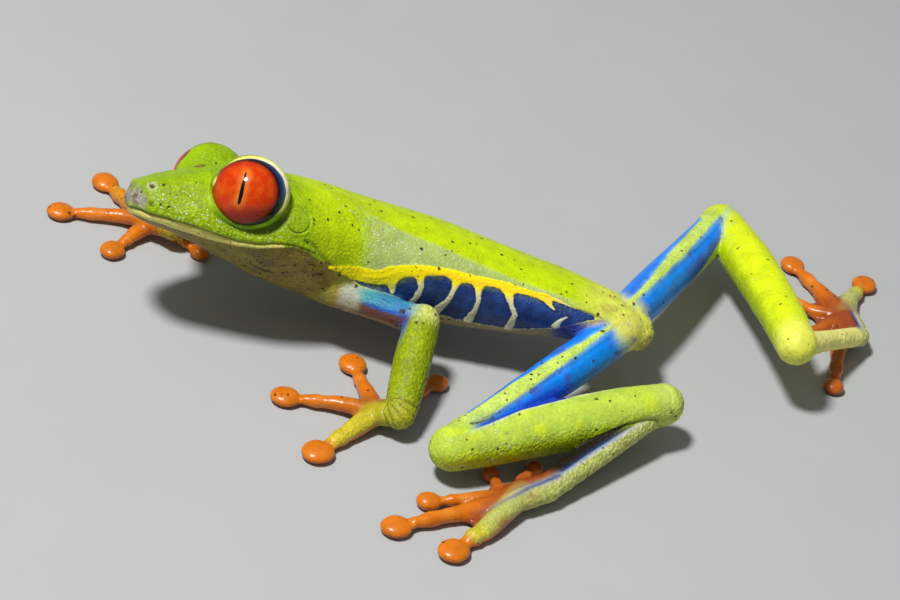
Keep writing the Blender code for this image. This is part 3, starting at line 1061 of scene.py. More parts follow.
# dark brown marks, and painted shade in the nostrils' hollows
BRUISE_AND_PIT_SHADE = (0.05, 0.012, 0.004)
RING_CREAM = (0.80, 0.80, 0.16)
RING_WHITE = (0.84, 0.80, 0.56)
LID_GREEN = (0.24, 0.46, 0.005)
LID_SHADE = (0.07, 0.13, 0.004)
AZURE = (0.0, 0.23, 0.94)
VIOLET = (0.015, 0.05, 0.62)
PALE_CYAN = (0.30, 0.62, 0.62)
THIGH_STRIPE = (0.62, 0.80, 0.14)
SHANK_GREEN = (0.52, 0.69, 0.07)
SHANK_LOW = (0.48, 0.64, 0.0)
TARSUS_CREAM = (0.55, 0.60, 0.14)
HEEL_CREAM = (0.58, 0.70, 0.13)
ORANGE = (0.69, 0.17, 0.004)
DISC_ORANGE = (0.69, 0.18, 0.006)
# painted shade on the lower side of a disc
DISC_UNDERSIDE_SHADE = (0.42, 0.08, 0.004)
PALM_ORANGE = (0.46, 0.12, 0.01)
WEB_RED = (0.32, 0.06, 0.012)
TOE_YELLOW = (0.66, 0.55, 0.03)
ARM_TEAL = (0.05, 0.31, 0.36)
ARM_WHITE = (0.42, 0.40, 0.28)
ARM_PINK = (0.13, 0.045, 0.035)
FOREARM_LIME = (0.30, 0.385, 0.0)
ELBOW_YELLOW = (0.72, 0.78, 0.20)
WRIST_GREEN = (0.44, 0.44, 0.02)
SOFT_WHITE = (0.70, 0.70, 0.55)
PALE_BEAD = (0.66, 0.60, 0.34)
RUMP_BROWN = (0.34, 0.26, 0.06)
THROAT_BROWN = (0.12, 0.07, 0.03)
THROAT_FLAKE = (0.016, 0.007, 0.004)
GROIN_BLUE = (0.05, 0.06, 0.30)
FLANK_SHADE = (0.025, 0.03, 0.02)
SNOUT_SPOT = (0.24, 0.12, 0.02)
JAW_SHADE = (0.10, 0.17, 0.01)
RING_EDGE = (0.16, 0.17, 0.01)
ARM_TAN = (0.32, 0.22, 0.12)
ARM_STREAK = (0.0, 0.08, 0.34)
ARM_BORDER = (0.0, 0.10, 0.50)
ELBOW_VIOLET = (0.05, 0.03, 0.22)
ELBOW_BLUE = (0.01, 0.10, 0.42)
FOREARM_RUST = (0.50, 0.22, 0.05)
BEAD_LIME = (0.47, 0.58, 0.0)
# painted shade in the wrist's wrinkles
WRINKLE_SHADE = (0.03, 0.027, 0.006)
THIGH_SKY = (0.0, 0.28, 0.85)
THIGH_RUST = (0.55, 0.22, 0.08)
SHANK_LIME = (0.74, 0.86, 0.0)
SHANK_SHADE = (0.16, 0.17, 0.02)
TUCK_BLUE = (0.01, 0.05, 0.45)
# painted light: brightened copies of the heel and tarsus colours for the far leg
FAR_HEEL_LIT = (0.84, 0.86, 0.12)
FAR_TARSUS_LIT = (0.93, 0.90, 0.24)
LINE_GLOW = (0.12, 0.30, 0.62)
LINE_NAVY = (0.012, 0.025, 0.13)
GRIT_CREAM = (0.80, 0.78, 0.34)
# painted highlight on the digits
TOE_HIGHLIGHT = (0.82, 0.32, 0.05)
FOOT_GLOW = (0.45, 0.42, 0.30)
FOOT_NAVY = (0.03, 0.06, 0.26)
MARKINGS = {
    # the dark-line field: the mouth line, and painted shade lines along folds and creases
    "navy": -1.0, "stripe": -1.0, "lip": -1.0, "seam": -1.0, "tissue": 0.0, "white": 0.0, "ripe": 0.0,
    # the glint field: where white wet glints are painted into the colour as painted highlight
    "sparkle": 0.0, "grain": 0.0, "gloss": 0.0, "specks": 0.0, "veil": 0.0,
}


@dataclass
class Layer:
    """What a part of the frog gives its skin: ground colours, relief in millimetres, and painted fields."""

    ground: Points
    relief: Points
    fields: Fields

    @classmethod
    def plain(cls, count: int, colour: Colour) -> "Layer":
        """A layer of one colour without relief or markings."""
        fields = {name: np.full(count, value) for name, value in MARKINGS.items()}
        return cls(np.tile(np.array(colour), (count, 1)), np.zeros(count), fields)

    def wash(self, colour: Colour, share: Points | float) -> None:
        """Turns the ground colour towards another by that share."""
        share = np.clip(np.broadcast_to(share, len(self.ground)), 0, 1)
        self.ground = self.ground + (np.array(colour) - self.ground) * share[:, None]

    def more(self, **amounts: Points | float) -> None:
        """Adds to painted fields, by their names."""
        for name, amount in amounts.items():
            self.fields[name] += amount


@dataclass
class Canvas:
    """Adds up the layers of all parts, each by its share at every skin point."""

    count: int
    reach: float = 0.16

    def __post_init__(self) -> None:
        """Starts empty."""
        self.total = np.full(self.count, 1e-9)
        fields = {name: np.zeros(self.count) for name in MARKINGS}
        self.sum = Layer(np.zeros((self.count, 3)), np.zeros(self.count), fields)

    def near(self, gap: Points) -> Points:
        """The points close enough to a part to take something from it."""
        return np.nonzero(gap < 8 * self.reach)[0]

    def add(self, where: Points, gap: Points, layer: Layer) -> None:
        """Adds a part's layer.

        Args:
            where: the points that take it.
            gap: their distances from the part.
            layer: the layer, with a value for each of them.
        """
        weight = np.exp(-np.maximum(gap, 0) / self.reach)
        self.total[where] += weight
        self.sum.ground[where] += layer.ground * weight[:, None]
        self.sum.relief[where] += layer.relief * weight
        for name, values in layer.fields.items():
            self.sum.fields[name][where] += np.clip(values, -1, 1) * weight

    def finish(self) -> Layer:
        """Divides the sums by the parts' shares.

        Returns:
            The mean layer.
        """
        self.sum.ground /= self.total[:, None]
        self.sum.relief /= self.total
        for values in self.sum.fields.values():
            values /= self.total
        return self.sum


@dataclass
class BodyMarks:
    """What the body's courses say at each skin point.

    Centre and edge are the rises of the stripe's middle and of the flank's lower edge. Drop is the distance
    below the mouth, lip the width of the pale lip, on_head the share that is head, and under the distance
    below the edge of belly and jaw.
    """

    centre: Points
    edge: Points
    drop: Points
    lip: Points
    on_head: Points
    under: Points


@dataclass
class BodyCoat:
    """Markings and relief of trunk and head. Paths are (length, rise) with a half width in millimetres."""

    head: Head
    at: BodyPlaces
    per_degree: float = 0.096
    back_edge: float = 49.0
    stripe: tuple[Triple, ...] = (
        (35.0, -28, 0.1), (33.6, -27, 0.36), (32.2, -26, 0.58), (30, -21, 0.66), (27, -12, 0.8),
        (25, 3.5, 0.76), (23, 14, 0.58), (21, 22, 0.48), (18, 28, 0.55), (15, 36, 0.48), (12.4, 38, 0.42),
        (9.5, 41, 0.2), (7.5, 36, 0.02),
    )
    bars: tuple[tuple[Triple, ...], ...] = (
        ((25.9, -4, 0.5), (25.5, -12, 0.36), (25.1, -26, 0.34)),
        ((23.2, 8, 0.4), (22.6, -6, 0.3), (22.7, -20, 0.32), (23.3, -34, 0.36)),
        ((19.3, 22, 0.45), (19.3, 4, 0.24), (19.6, -12, 0.27), (20.5, -32, 0.5)),
        ((17.1, 22, 0.4), (16.7, 4, 0.22), (16.7, -12, 0.24), (17.1, -32, 0.46)),
        ((14.2, 32, 0.5), (13.5, 11, 0.25), (12.9, -4, 0.26), (13.2, -34, 0.42)),
        ((10.7, 38, 0.3), (9.9, 29, 0.22), (9.5, 24, 0.1)),
        ((8.2, 17, 0.08), (8.8, 4, 0.22), (9.0, -8, 0.4)),
    )
    flank: Course = (
        (0, 40), (5.2, 34), (6.3, 20), (7.5, 4), (8.9, -11), (11.1, -26), (13.2, -34), (20.4, -35), (26, -35),
        (30.5, -32), (33, -26), (36, -23), (39, -27),
    )
    navy_ends: tuple[float, float] = (5.6, 33.6)
    speck_cluster: tuple[float, float] = (23.9, 0.9)
    cheek_start: tuple[float, float] = (35.0, 38.0)
    canthus: Course = ((8.8, 0.15), (6.0, 0.75), (3.6, 1.0), (1.8, 1.3))
    jaw_fold: Course = ((-4.7, -4.7), (-5.6, -5.2), (-6.5, -6.2), (-7.6, -7.2))
    throat_fold: Course = ((-0.4, -7.3), (-1.3, -7.75), (-2.0, -8.05), (-2.9, -8.3))
    neck_fold: Course = ((-6.3, -1.2), (-7.2, -3.4), (-7.3, -5.6))
    lore_dip: tuple[float, float] = (5.4, -0.9)
    brow_spot: tuple[float, float] = (3.0, 0.3)

    def __post_init__(self) -> None:
        """Starts the layer, and reads the courses at the points."""
        b = self.at
        centre = read(tuple((a, r) for a, r, _ in reversed(self.stripe)), b.length)
        on_head = step(b.length, *self.cheek_start)
        edge, lip = read(self.flank, b.length), read(self.head.lip, b.ahead)
        drop = read(self.head.mouth, b.ahead) - b.level
        under = (edge - b.rise) * self.per_degree * (1 - on_head) + (drop - np.maximum(lip, 0.06)) * on_head
        self.marks = BodyMarks(centre, edge, drop, lip, on_head, under)
        self.layer = Layer.plain(len(b.spots), LIME)

    def coat(self, eyes: list[Eye]) -> Layer:
        """Paints and shapes trunk and head.

        Args:
            eyes: both eyes.

        Returns:
            The layer.
        """
        self.ground()
        self.rump_and_back()
        self.flank_markings()
        self.mouth()
        self.snout()
        self.folds()
        for eye in eyes:
            self.lids(eye)
        return self.layer

    def ground(self) -> None:
        """Paints the ground colours, with painted sheen and shade along the trunk's sides and painted shade
        on belly and throat, and sets how granular the skin is and where glints are painted.
        """
        layer, b, m = self.layer, self.at, self.marks
        spots, fields, on_head = b.spots, layer.fields, m.on_head
        side = step(b.rise, self.back_edge + 3, self.back_edge - 3)
        side_sheen = side * step(b.length, 6, 10) * step(b.length, 32, 28)
        patch = 0.5 + 0.5 * lumps(spots, 1.6)
        layer.wash(HEAD_GREEN, on_head)
        layer.wash(SHOULDER_GREEN, bell(b.length - 32.5, 4) * step(b.rise, 60, 45) * 0.8)
        # painted sheen and shade: the sides below the back's edge turned grey-green
        layer.wash(SHEEN_SHADE_GREEN, side_sheen * (0.8 + 0.2 * patch))
        layer.wash(RUMP_YELLOW, step(b.length, 9, 4) * (0.55 + 0.45 * patch))
        layer.wash(RUMP_BROWN, step(b.length, 7, 3) * step(lumps(spots, 0.9, 7), 0.15, 0.6) * 0.7)
        layer.wash(LORE_GREEN, on_head * step(b.level, 1.2, 0.2) * step(b.ahead, -6, -1))
        belly = step(m.under, -0.06, 0.12) * step(b.length, 1.5, 4.5)
        throat = step(b.length, 30, 36)
        # belly and throat colours, darkened below their own cream by painted shade
        layer.wash(BELLY_CREAM_SHADED, belly * (1 - throat))
        layer.wash(THROAT_BEIGE_SHADED, belly * throat)
        layer.wash(THROAT_BROWN, belly * throat * step(lumps(spots, 1.1, 5), 0.1, 0.7) * 0.5)
        flakes = np.maximum(step(lumps(spots, 0.42, 21), 0.66, 0.76), step(lumps(spots, 0.3, 23), 0.72, 0.8))
        layer.wash(THROAT_FLAKE, belly * throat * step(b.length, 46, 43) * flakes * 0.95)
        groin = step(b.length, 10, 8) * step(b.length, 3.5, 5.5) * step(b.rise, 25, 0)
        layer.wash(GROIN_BLUE, groin * step(b.rise, -75, -45))
        fields["grain"] = 0.3 + 0.5 * np.maximum(belly, 0.4 * bell(b.length - 33, 5) * step(b.rise, 60, 30))
        fields["grain"] *= 1 - 0.6 * step(b.rise, 60, 75) * (1 - on_head)
        shoulder = bell(b.length - 28, 4.5) * bell(b.rise - 34, 16)
        # painted highlight: glints on the shoulder and along the sides
        fields["sparkle"] = np.clip(shoulder + 0.4 * side_sheen * step(b.length, 10, 24), 0, 1) * (1 - belly)
        fields["specks"] = 0.35 + 0.8 * belly * throat + 0.5 * step(b.length, 9, 4) + 0.2 * on_head
        layer.relief += 0.05 * lumps(spots, 1.0) * belly

    def rump_and_back(self) -> None:
        """Shapes the ridge along the back, the hollow of the flank and the pebbled rump."""
        layer, b, m = self.layer, self.at, self.marks
        ridge = bell(b.rise - self.back_edge, 6) * step(b.length, 5, 10) * step(b.length, 33, 28)
        hollow = step(b.rise, -40, -22) * step(b.rise, self.back_edge - 6, m.centre) * step(b.length, 6, 12)
        layer.relief += 0.12 * ridge - 0.16 * hollow * step(b.length, 33, 29)
        layer.relief += 0.05 * lumps(b.spots, 2.4) * step(b.length, 6, 10) * (1 - m.on_head)
        rough = 0.13 * lumps(b.spots, 0.8) + 0.09 * pebbles(b.spots, 0.5)
        layer.relief += rough * step(b.length, 6, 3)

    def flank_markings(self) -> None:
        """Paints the blue flank, its yellow stripe and its pale bars."""
        layer, b, m = self.layer, self.at, self.marks
        up, fields = b.rise * self.per_degree, layer.fields
        paths = [tuple((a, r * self.per_degree, w) for a, r, w in path) for path in (self.stripe, *self.bars)]
        stripe = ribbon(b.length, up, paths[0])
        bars = np.full(len(up), -FAR)
        for path in paths[1:]:
            bars = np.maximum(bars, ribbon(b.length, up, path))
        below = (m.centre - b.rise) * self.per_degree
        rear, front = self.navy_ends
        navy = np.minimum.reduce([
            (b.rise - m.edge) * self.per_degree, below, (b.length - rear) * 0.8, (front - b.length) * 0.8,
        ])
        fields["navy"] = navy
        fields["stripe"] = np.where(b.gap < 1, soft_max(stripe, bars, 0.9), -1)
        fields["white"] = step(below, 0.9, 2.4) * step(b.length, 28, 24) + 0.55 * step(b.length, 11, 8)
        fields["ripe"] = step(b.length, 27, 20) * step(below, -0.35, 0.3) * step(below, 1.3, 0.4) * 0.75
        fields["veil"] = step(stripe, -0.85, -0.15) * step(b.length, 31, 27) * step(b.length, 8, 11)
        fields["gloss"] = step(navy, 0, 0.3) * 0.5
        fields["sparkle"] *= step(np.maximum(navy, fields["stripe"]), 0.05, -0.25)
        along, level = self.speck_cluster
        fields["specks"] += 1.1 * bell(np.hypot(b.length - along, up - level), 0.75)
        shade = bell(below + 0.02, 0.2) * step(b.length, 15, 11.5) * step(b.length, 4, 6)
        layer.wash(FLANK_SHADE, shade * step(fields["stripe"], 0.1, -0.1) * 0.9)
        layer.relief += 0.09 * step(fields["stripe"], -0.1, 0.15)
        beads = bell(navy, 0.22) * step(b.rise, 10, -10) * step(b.length, 7, 10) * step(b.length, 30, 28)
        layer.wash(PALE_BEAD, beads * 0.8)
        layer.relief += 0.06 * beads

    def mouth(self) -> None:
        """Paints and shapes mouth, lips and cheeks, with painted shade along the jaw's edge below the lip and
        painted wet glints beside them.
        """
        layer, b, m = self.layer, self.at, self.marks
        fields, drop, lip, on_head = layer.fields, m.drop, m.lip, m.on_head
        jaw = on_head * step(b.ahead, -7.4, -5.0)
        seam = 0.045 + 0.03 * bell(b.ahead + 5, 1.2) - np.abs(drop)
        fields["seam"] = np.where(b.ahead > -6.3, seam, -1)
        # painted shade: a dark line along the jaw's edge below the pale lip
        below_lip = np.where(b.ahead > 0, 0.0 - np.abs(drop - lip - 0.08), -1)
        fields["seam"] = np.maximum(fields["seam"], below_lip)
        fields["lip"] = np.where(b.ahead > -2.6, lip / 2 - np.abs(drop - lip / 2 - 0.03), -1)
        groove = -0.16 * bell(drop, 0.09) + 0.10 * bell(drop + 0.32, 0.22)
        layer.relief += jaw * (groove + 0.14 * bell(drop - lip * 0.6, 0.2))
        layer.relief += on_head * -0.12 * bell(drop - 2.9, 0.5) * step(b.ahead, -9, -6) * step(b.ahead, 3, 0)
        lore = step(b.ahead, -1, 2) * step(b.ahead, 9.8, 8.5) * step(drop, -0.15, -0.4)
        lore *= step(b.level, 0.9, 0.1)
        cheek = step(b.ahead, -5, -3.5) * step(b.ahead, 2, 0) * step(drop, -0.1, -0.3)
        cheek *= step(drop, -1.6, -0.9)
        # painted highlight: wet glints clustered on the lore and cheeks
        clustered = 0.35 + 0.65 * step(lumps(b.spots, 0.9, 11), -0.25, 0.35)
        wet = clustered * (1.15 * lore * (0.45 + 0.55 * step(drop, -2.6, -1.2)) + 1.0 * cheek)
        fields["sparkle"] = np.clip(fields["sparkle"] + on_head * wet, 0, 1.3)
        fields["grain"] = np.clip(fields["grain"] + on_head * (0.3 + 0.4 * lore), 0, 1)
        layer.relief += on_head * 0.07 * lumps(b.spots, 0.9) * step(drop, 0.2, -0.2) * step(b.ahead, 9, 7)

    def snout(self) -> None:
        """Shapes the snout's edges, and paints its scuffed tip, the spot on the brow and the nostrils, whose
        rims take a painted highlight and whose hollows take painted shade.
        """
        layer, b, m = self.layer, self.at, self.marks
        spots, aside = b.spots, np.abs(b.aside)
        canthus = distance_to_path(b.ahead, b.level, self.canthus)
        layer.relief += m.on_head * 0.16 * bell(canthus, 0.5) * step(aside, 1.0, 1.8)
        ahead, level = self.lore_dip
        dip = bell(np.hypot(b.ahead - ahead, (b.level - level) * 1.4), 1.6)
        layer.relief -= m.on_head * 0.2 * dip * step(aside, 1.5, 3)
        layer.relief -= 0.3 * step(b.ahead, 8.9, 9.9) * step(m.drop, 0.6, 0.0)
        tip = step(b.ahead, 9.1, 9.6) * bell(b.level + 0.8, 1.05)
        layer.wash(SCUFF_GREY, tip * (0.8 + 0.5 * lumps(spots, 0.5)))
        layer.wash(SCUFF_BROWN, tip * step(lumps(spots, 0.55, 3), -0.1, 0.3) * 0.8)
        layer.wash(BRUISE_AND_PIT_SHADE, tip * bell(b.level - 0.05, 0.22) * step(lumps(spots, 0.6, 9), -0.3, 0.2) * 0.7)
        layer.relief -= 0.05 * tip * pebbles(spots, 0.5)
        ahead, wide, level = self.head.nostril
        for side in Side:
            across = b.aside - side.value * (wide + 0.25)
            out = np.sqrt((b.ahead - ahead) ** 2 + across ** 2 * 0.6 + (b.level - level) ** 2)
            # painted highlight round each nostril's rim, then painted shade in its hollow
            layer.wash(SOFT_WHITE, bell(out - 0.38, 0.12) * 0.55)
            layer.wash(BRUISE_AND_PIT_SHADE, step(out, 0.3, 0.17))
            layer.relief += 0.07 * bell(out - 0.4, 0.15) - 0.22 * step(out, 0.28, 0.1)
        ahead, wide = self.brow_spot
        spot = np.hypot(b.ahead - ahead, b.aside - wide)
        layer.wash(SNOUT_SPOT, step(spot, 0.55, 0.4) * step(b.level, 0, 1) * 0.9)
        layer.wash(BRUISE_AND_PIT_SHADE, bell(spot - 0.45, 0.12) * step(b.level, 0, 1) * 0.8)

    def folds(self) -> None:
        """Shapes and paints the eardrums and the folds of jaw, throat and neck, with painted shade along the
        eardrums' lower rims and in the folds.
        """
        layer, b, m = self.layer, self.at, self.marks
        fields, aside, rim = layer.fields, np.abs(b.aside), self.head.drum_radius
        ahead, level = self.head.drum
        across, upward = b.ahead - ahead, b.level - level
        radius = np.hypot(across, upward) + FAR * step(aside, 4.5, 4.0)
        layer.wash(DRUM_GREEN, step(radius, rim, rim - 0.15) * 0.75)
        layer.relief -= m.on_head * (0.06 * step(radius, 1.1, 0.8) + 0.09 * bell(radius - rim, 0.12))
        layer.relief += m.on_head * 0.05 * bell(radius - rim - 0.25, 0.15)
        # the eardrum's thin dark outline, widened on its lower half as painted shade
        low = step(-upward / np.maximum(radius, 0.1), -0.3, 0.6)
        fields["seam"] = np.maximum(fields["seam"], 0.05 * low + 0.005 - np.abs(radius - rim))
        fields["sparkle"] *= 1 - step(radius, 1.3, 1.1)
        paths = (self.jaw_fold, self.throat_fold, self.neck_fold)
        jaw, throat, neck = (distance_to_path(b.ahead, b.level, path) for path in paths)
        layer.relief -= 0.15 * bell(jaw, 0.22) * step(aside, 4, 5.5)
        layer.wash(JAW_SHADE, bell(jaw, 0.16) * 0.6 * step(aside, 4, 5.5) * step(m.under, 0.3, 0))
        # painted shade: a dark line along the throat's fold
        low = step(aside, 2.0, 2.6) * step(m.under, 0.3, 0.6)
        fields["seam"] = np.maximum(fields["seam"], np.where(low > 0.5, 0.05 - throat, -1))
        layer.relief += low * (0.12 * bell(throat - 0.5, 0.3) - 0.22 * bell(throat, 0.2))
        layer.relief -= 0.09 * bell(neck, 0.5) * step(aside, 3, 5)

    def lids(self, eye: Eye) -> None:
        """Paints and shapes the ring round an eye and the fold of its lower lid.

        Args:
            eye: the eye.
        """
        layer = self.layer
        edge, angle, share = eye.lid_places(self.at.spots)
        ring = read(eye.ring_width, angle)
        lower = step(angle, 200, 220) * step(angle, 345, 325)
        pit = bell(angle - 238, 38)
        shade = lower * step(edge, 0.36, 0.5) * step(edge, 0.75 + 0.6 * pit, 0.55 + 0.3 * pit)
        layer.wash(LID_GREEN, share * lower * step(edge, 0.62, 0.45))
        layer.wash(LID_SHADE, share * lower * step(edge, -0.02, -0.12) * 0.9)
        layer.wash(LID_SHADE, share * step(angle, 255, 275) * lower * step(edge, 0.2, 0.05) * 0.85)
        layer.wash(RING_EDGE, share * (1 - lower) * bell(edge - ring - 0.07, 0.06) * 0.6)
        layer.wash(RING_CREAM, share * step(edge, ring + 0.04, ring - 0.04) * step(ring, -0.35, -0.2))
        layer.wash(RING_WHITE, share * step(edge, ring - 0.06, ring - 0.2) * step(ring, -0.1, 0.1) * 0.8)
        layer.wash(LID_SHADE, share * shade * 0.8)
        layer.relief -= share * shade * (0.16 + 0.22 * pit)
        layer.fields["sparkle"] *= 1 - share * step(edge, 0.8, 0.6)
        layer.fields["grain"] *= 1 - share * step(edge, 0.8, 0.5)
        layer.fields["specks"] *= 1 - share * step(edge, 0.7, 0.5)


class LimbPlaces(NamedTuple):
    """Where skin points lie on a limb's segment.

    A lean is the angle from the top towards the outer side, and arc is the length of one degree of it. Near
    says whether the limb is on the frog's left.
    """

    share: Points
    lean: Points
    arc: Points
    spots: Points
    near: bool


@dataclass
class LimbCoat:
    """Markings and relief of a limb's segment."""

    name: str
    at: LimbPlaces
    thread_low: Course = ((0.0, 9), (0.15, 12), (0.3, 17), (0.45, 21), (0.7, 21), (1.0, 21), (1.1, 25))
    thread_high: Course = (
        (0.0, -1), (0.13, -2), (0.26, -6), (0.48, -20), (0.67, -30), (0.86, -36), (0.95, -90), (1.0, -180),
    )
    far_low: Course = ((0.0, 16), (0.25, 18), (0.53, 17), (0.8, 8), (1.0, 3))
    violet_lean: float = 38.0
    ridge: Course = ((0.0, -20), (0.15, -8), (0.31, 11), (0.45, 18), (0.6, 29), (0.8, 42), (1.0, 50))
    far_ridge: float = 95.0
    tarsus_line: Course = ((0.0, 35), (0.3, 25), (0.5, 15), (0.68, 8), (0.84, 7), (1.0, 0))
    far_line: float = -38.0

    def coat(self) -> Layer:
        """Paints and shapes the segment.

        Returns:
            The layer.
        """
        painters: dict[str, tuple[Colour, Callable[[], None]]] = {
            "upper_arm": (ARM_PINK, self.upper_arm),
            "forearm": (FOREARM_LIME, self.forearm),
            "palm": (PALM_ORANGE, self.palm),
            "thigh": (AZURE, self.thigh),
            "shank": (SHANK_GREEN, self.shank),
            "tarsus": (WEB_RED, self.tarsus),
            "sole": (WEB_RED, self.sole),
        }
        ground, paint = painters[self.name]
        self.layer = Layer.plain(len(self.at.spots), ground)
        paint()
        return self.layer

    def upper_arm(self) -> None:
        """Paints it blue above, white-grey at its root and pinkish below."""
        layer, (share, lean, _, spots, _) = self.layer, self.at
        patch = lumps(spots, 1.2)
        lean = -lean
        bound = 58 - 10 * step(share, 0.5, 1.0)
        top = step(lean + 5 * patch, bound + 9, bound - 9) * step(lean, -100, -70)
        layer.wash(ARM_TAN, step(lean, 92, 118) * 0.8)
        layer.wash(ARM_TEAL, top)
        layer.wash(AZURE, top * step(share, 0.35, 0.9) * (0.35 + 0.3 * patch))
        streaks = bell(np.sin(lean * 0.15 + 2.2 * patch), 0.5) * step(share, 0.2, 0.45)
        layer.wash(ARM_STREAK, top * streaks * 0.6)
        layer.wash(ARM_BORDER, bell(lean - bound, 9) * step(share, 0.25, 0.5) * 0.9)
        layer.wash(ELBOW_VIOLET, step(share, 0.72, 0.9) * step(lean, bound - 5, bound + 10) * 0.85)
        layer.wash(ARM_WHITE, step(share + 0.1 * patch, 0.4, 0.1) * (0.3 + 0.65 * step(lean, 120, 85)))
        # the arm's root takes the throat's beige, darkened by painted shade
        layer.wash(THROAT_BEIGE_SHADED, step(share + 0.05 * patch, 0.13, 0.0))
        layer.wash(ELBOW_YELLOW, step(share, 0.93, 1.03) * step(lean, 75, 50))
        wrinkles = 0.05 * step(share, 0.5, 0.9) * bell(np.sin(share * 40), 0.35)
        layer.relief += 0.05 * lumps(spots, 0.7) - wrinkles
        layer.more(grain=0.5, specks=0.6, tissue=0.6 * top * step(share, 0.3, 0.6) * step(share, 1.0, 0.9))

    def forearm(self) -> None:
        """Paints lime beads, a pale rear edge and a duller wrist."""
        layer, (share, lean, _, spots, _) = self.layer, self.at
        layer.wash(ELBOW_YELLOW, step(share, 0.12, -0.05))
        layer.wash(ELBOW_YELLOW, step(lean, 74, 88) * step(lean, 125, 110) * 0.8)
        layer.wash(FOREARM_RUST, step(np.abs(lean), 120, 150) * 0.6)
        wrist = step(share, 0.84, 0.98)
        layer.wash(WRIST_GREEN, wrist)
        beads = pebbles(spots, 0.36)
        layer.wash(BEAD_LIME, step(beads, 0.45, 0.8) * 0.3 * (1 - wrist))
        layer.wash(ELBOW_BLUE, step(lean, -34, -58) * step(lean, -120, -90) * bell(share - 0.1, 0.16) * 0.85)
        layer.relief += 0.05 * beads * (1 - wrist) + 0.03 * lumps(spots, 1.5)
        layer.more(grain=0.9, specks=0.2)

    def palm(self) -> None:
        """Paints it yellow-green from the wrist on the outer side, and orange on the inner one."""
        layer, (share, lean, _, spots, near) = self.layer, self.at
        if near:
            layer.wash(WRIST_GREEN, np.maximum(step(share, 0.7, 0.2), step(lean, -10, 15)))
        else:
            layer.wash(ORANGE, 0.8)
            layer.wash(WRIST_GREEN, step(share, 0.3, 0.0) * step(lean, -60, -20))
        layer.relief += 0.04 * lumps(spots, 0.6)
        layer.more(grain=0.3, gloss=0.4)

    def thigh(self) -> None:
        """Paints it azure with a pale stripe along the top, violet at the rear, and lime at the knee."""
        layer, (share, lean, arc, spots, near) = self.layer, self.at
        cloud = lumps(spots, 1.3)
        violet = step(lean + 12 * cloud, self.violet_lean, self.violet_lean + 22)
        layer.wash(VIOLET, violet * 0.85 * step(share, 0.3, 0.55))
        layer.wash(THIGH_SKY, bell(share - 0.25, 0.2) * step(lean, 10, 30) * 0.7)
        layer.wash(THIGH_RUST, step(np.abs(lean), 118, 140))
        low = read(self.thread_low if near else self.far_low, share)
        inside = np.minimum(low - lean, lean - read(self.thread_high, share)) * arc
        rear = step(lean, 15, 24) if near else step(lean, -6, 3)
        layer.wash(PALE_CYAN, step(inside, -0.55, -0.05) * (0.4 + 0.25 * cloud))
        layer.wash(THIGH_STRIPE, step(inside + 0.06 * cloud, -0.12, 0.16))
        knee = np.maximum(step(share, 0.84, 1.0) * (1 - rear), step(share - 1.12 + 0.006 * lean, -0.02, 0.05))
        layer.wash(SHANK_GREEN, knee)
        root = 0.14 if near else 0.05
        layer.wash(RUMP_YELLOW, step(share + 0.03 * cloud, root, root - 0.11) * step(lean, -70, -35))
        furrow = bell((lean - 31) * arc, 0.22) * bell(share - 0.45, 0.28)
        layer.relief += 0.10 * step(inside, -0.3, 0.3) - 0.16 * furrow
        layer.relief += 0.03 * cloud
        layer.more(
            tissue=step(inside, 0.1, -0.15) * (1 - knee),
            grain=0.25 + 0.5 * step(inside, -0.1, 0.2),
            gloss=0.35 * step(inside, 0.1, -0.2),
            specks=(0.45 * step(inside, -0.4, 0.1) + 0.15) * (1.0 if near else 0.4),
            # painted highlight: glints at the knee
            sparkle=0.2 * step(share, 0.9, 1.0),
        )

    def shank(self) -> None:
        """Paints it lime, granular below, with a thin pale ridge along its upper edge, painted shade on its
        low side and painted light on the far leg's heel.
        """
        layer, (share, lean, arc, spots, near) = self.layer, self.at
        cloud = lumps(spots, 1.7)
        layer.wash(SHANK_LIME, step(cloud, 0.3, 0.7) * 0.6 if near else 0.9)
        layer.wash(SHANK_LOW, step(np.abs(lean), 55, 85))
        layer.wash(SHANK_SHADE, step(np.abs(lean), 128, 152) * 0.85)
        # on the far leg the heel takes a brightened cream as painted light
        layer.wash(HEEL_CREAM if near else FAR_HEEL_LIT, step(share, 0.88, 1.0) * 0.8)
        off = (lean - (read(self.ridge, share) if near else self.far_ridge)) * arc
        tucked = step(off, 0.05, 0.16) * step(share, 0.05, 0.13) * step(share, 0.75, 0.6) * step(lean, 90, 70)
        layer.wash(TUCK_BLUE, tucked * near)
        ridge = bell(off, 0.12) * step(share, 0.02, 0.15) * step(share, 0.95, 0.7) * near
        layer.wash(SOFT_WHITE, ridge * 0.6)
        layer.relief += 0.10 * ridge + 0.05 * cloud + 0.02 * pebbles(spots, 0.4)
        layer.relief -= 0.08 * step(share, 0.9, 1.0) * bell(np.sin(share * 60 + lumps(spots, 0.9)), 0.35)
        layer.more(
            grain=(0.25 + 0.7 * step(np.abs(lean), 45, 75)) * (1.0 if near else 0.35),
            # painted highlight: glints near the knee end
            sparkle=(0.6 * bell(share - 0.14, 0.1) + 0.03) * (1 - tucked),
            specks=0.4 if near else 0.1,
        )

    def tarsus(self) -> None:
        """Paints a pale granular outer side, a blue line along the top, and an orange-brown inner side. On
        the near leg most of the inner side is painted near-black as shadow, and on the far leg the tarsus
        takes a brightened colour as painted light.
        """
        layer, (share, lean, _, spots, near) = self.layer, self.at
        # painted shadow: the near tarsus turned near-black, except where the outer strip paints over it
        layer.wash(SHADOW, step(share, 1.0, 0.86) * near)
        line = read(self.tarsus_line, share) + (0 if near else self.far_line)
        self.outer_strip(step(share, 0.3, 0.55), lean - line)
        if not near:
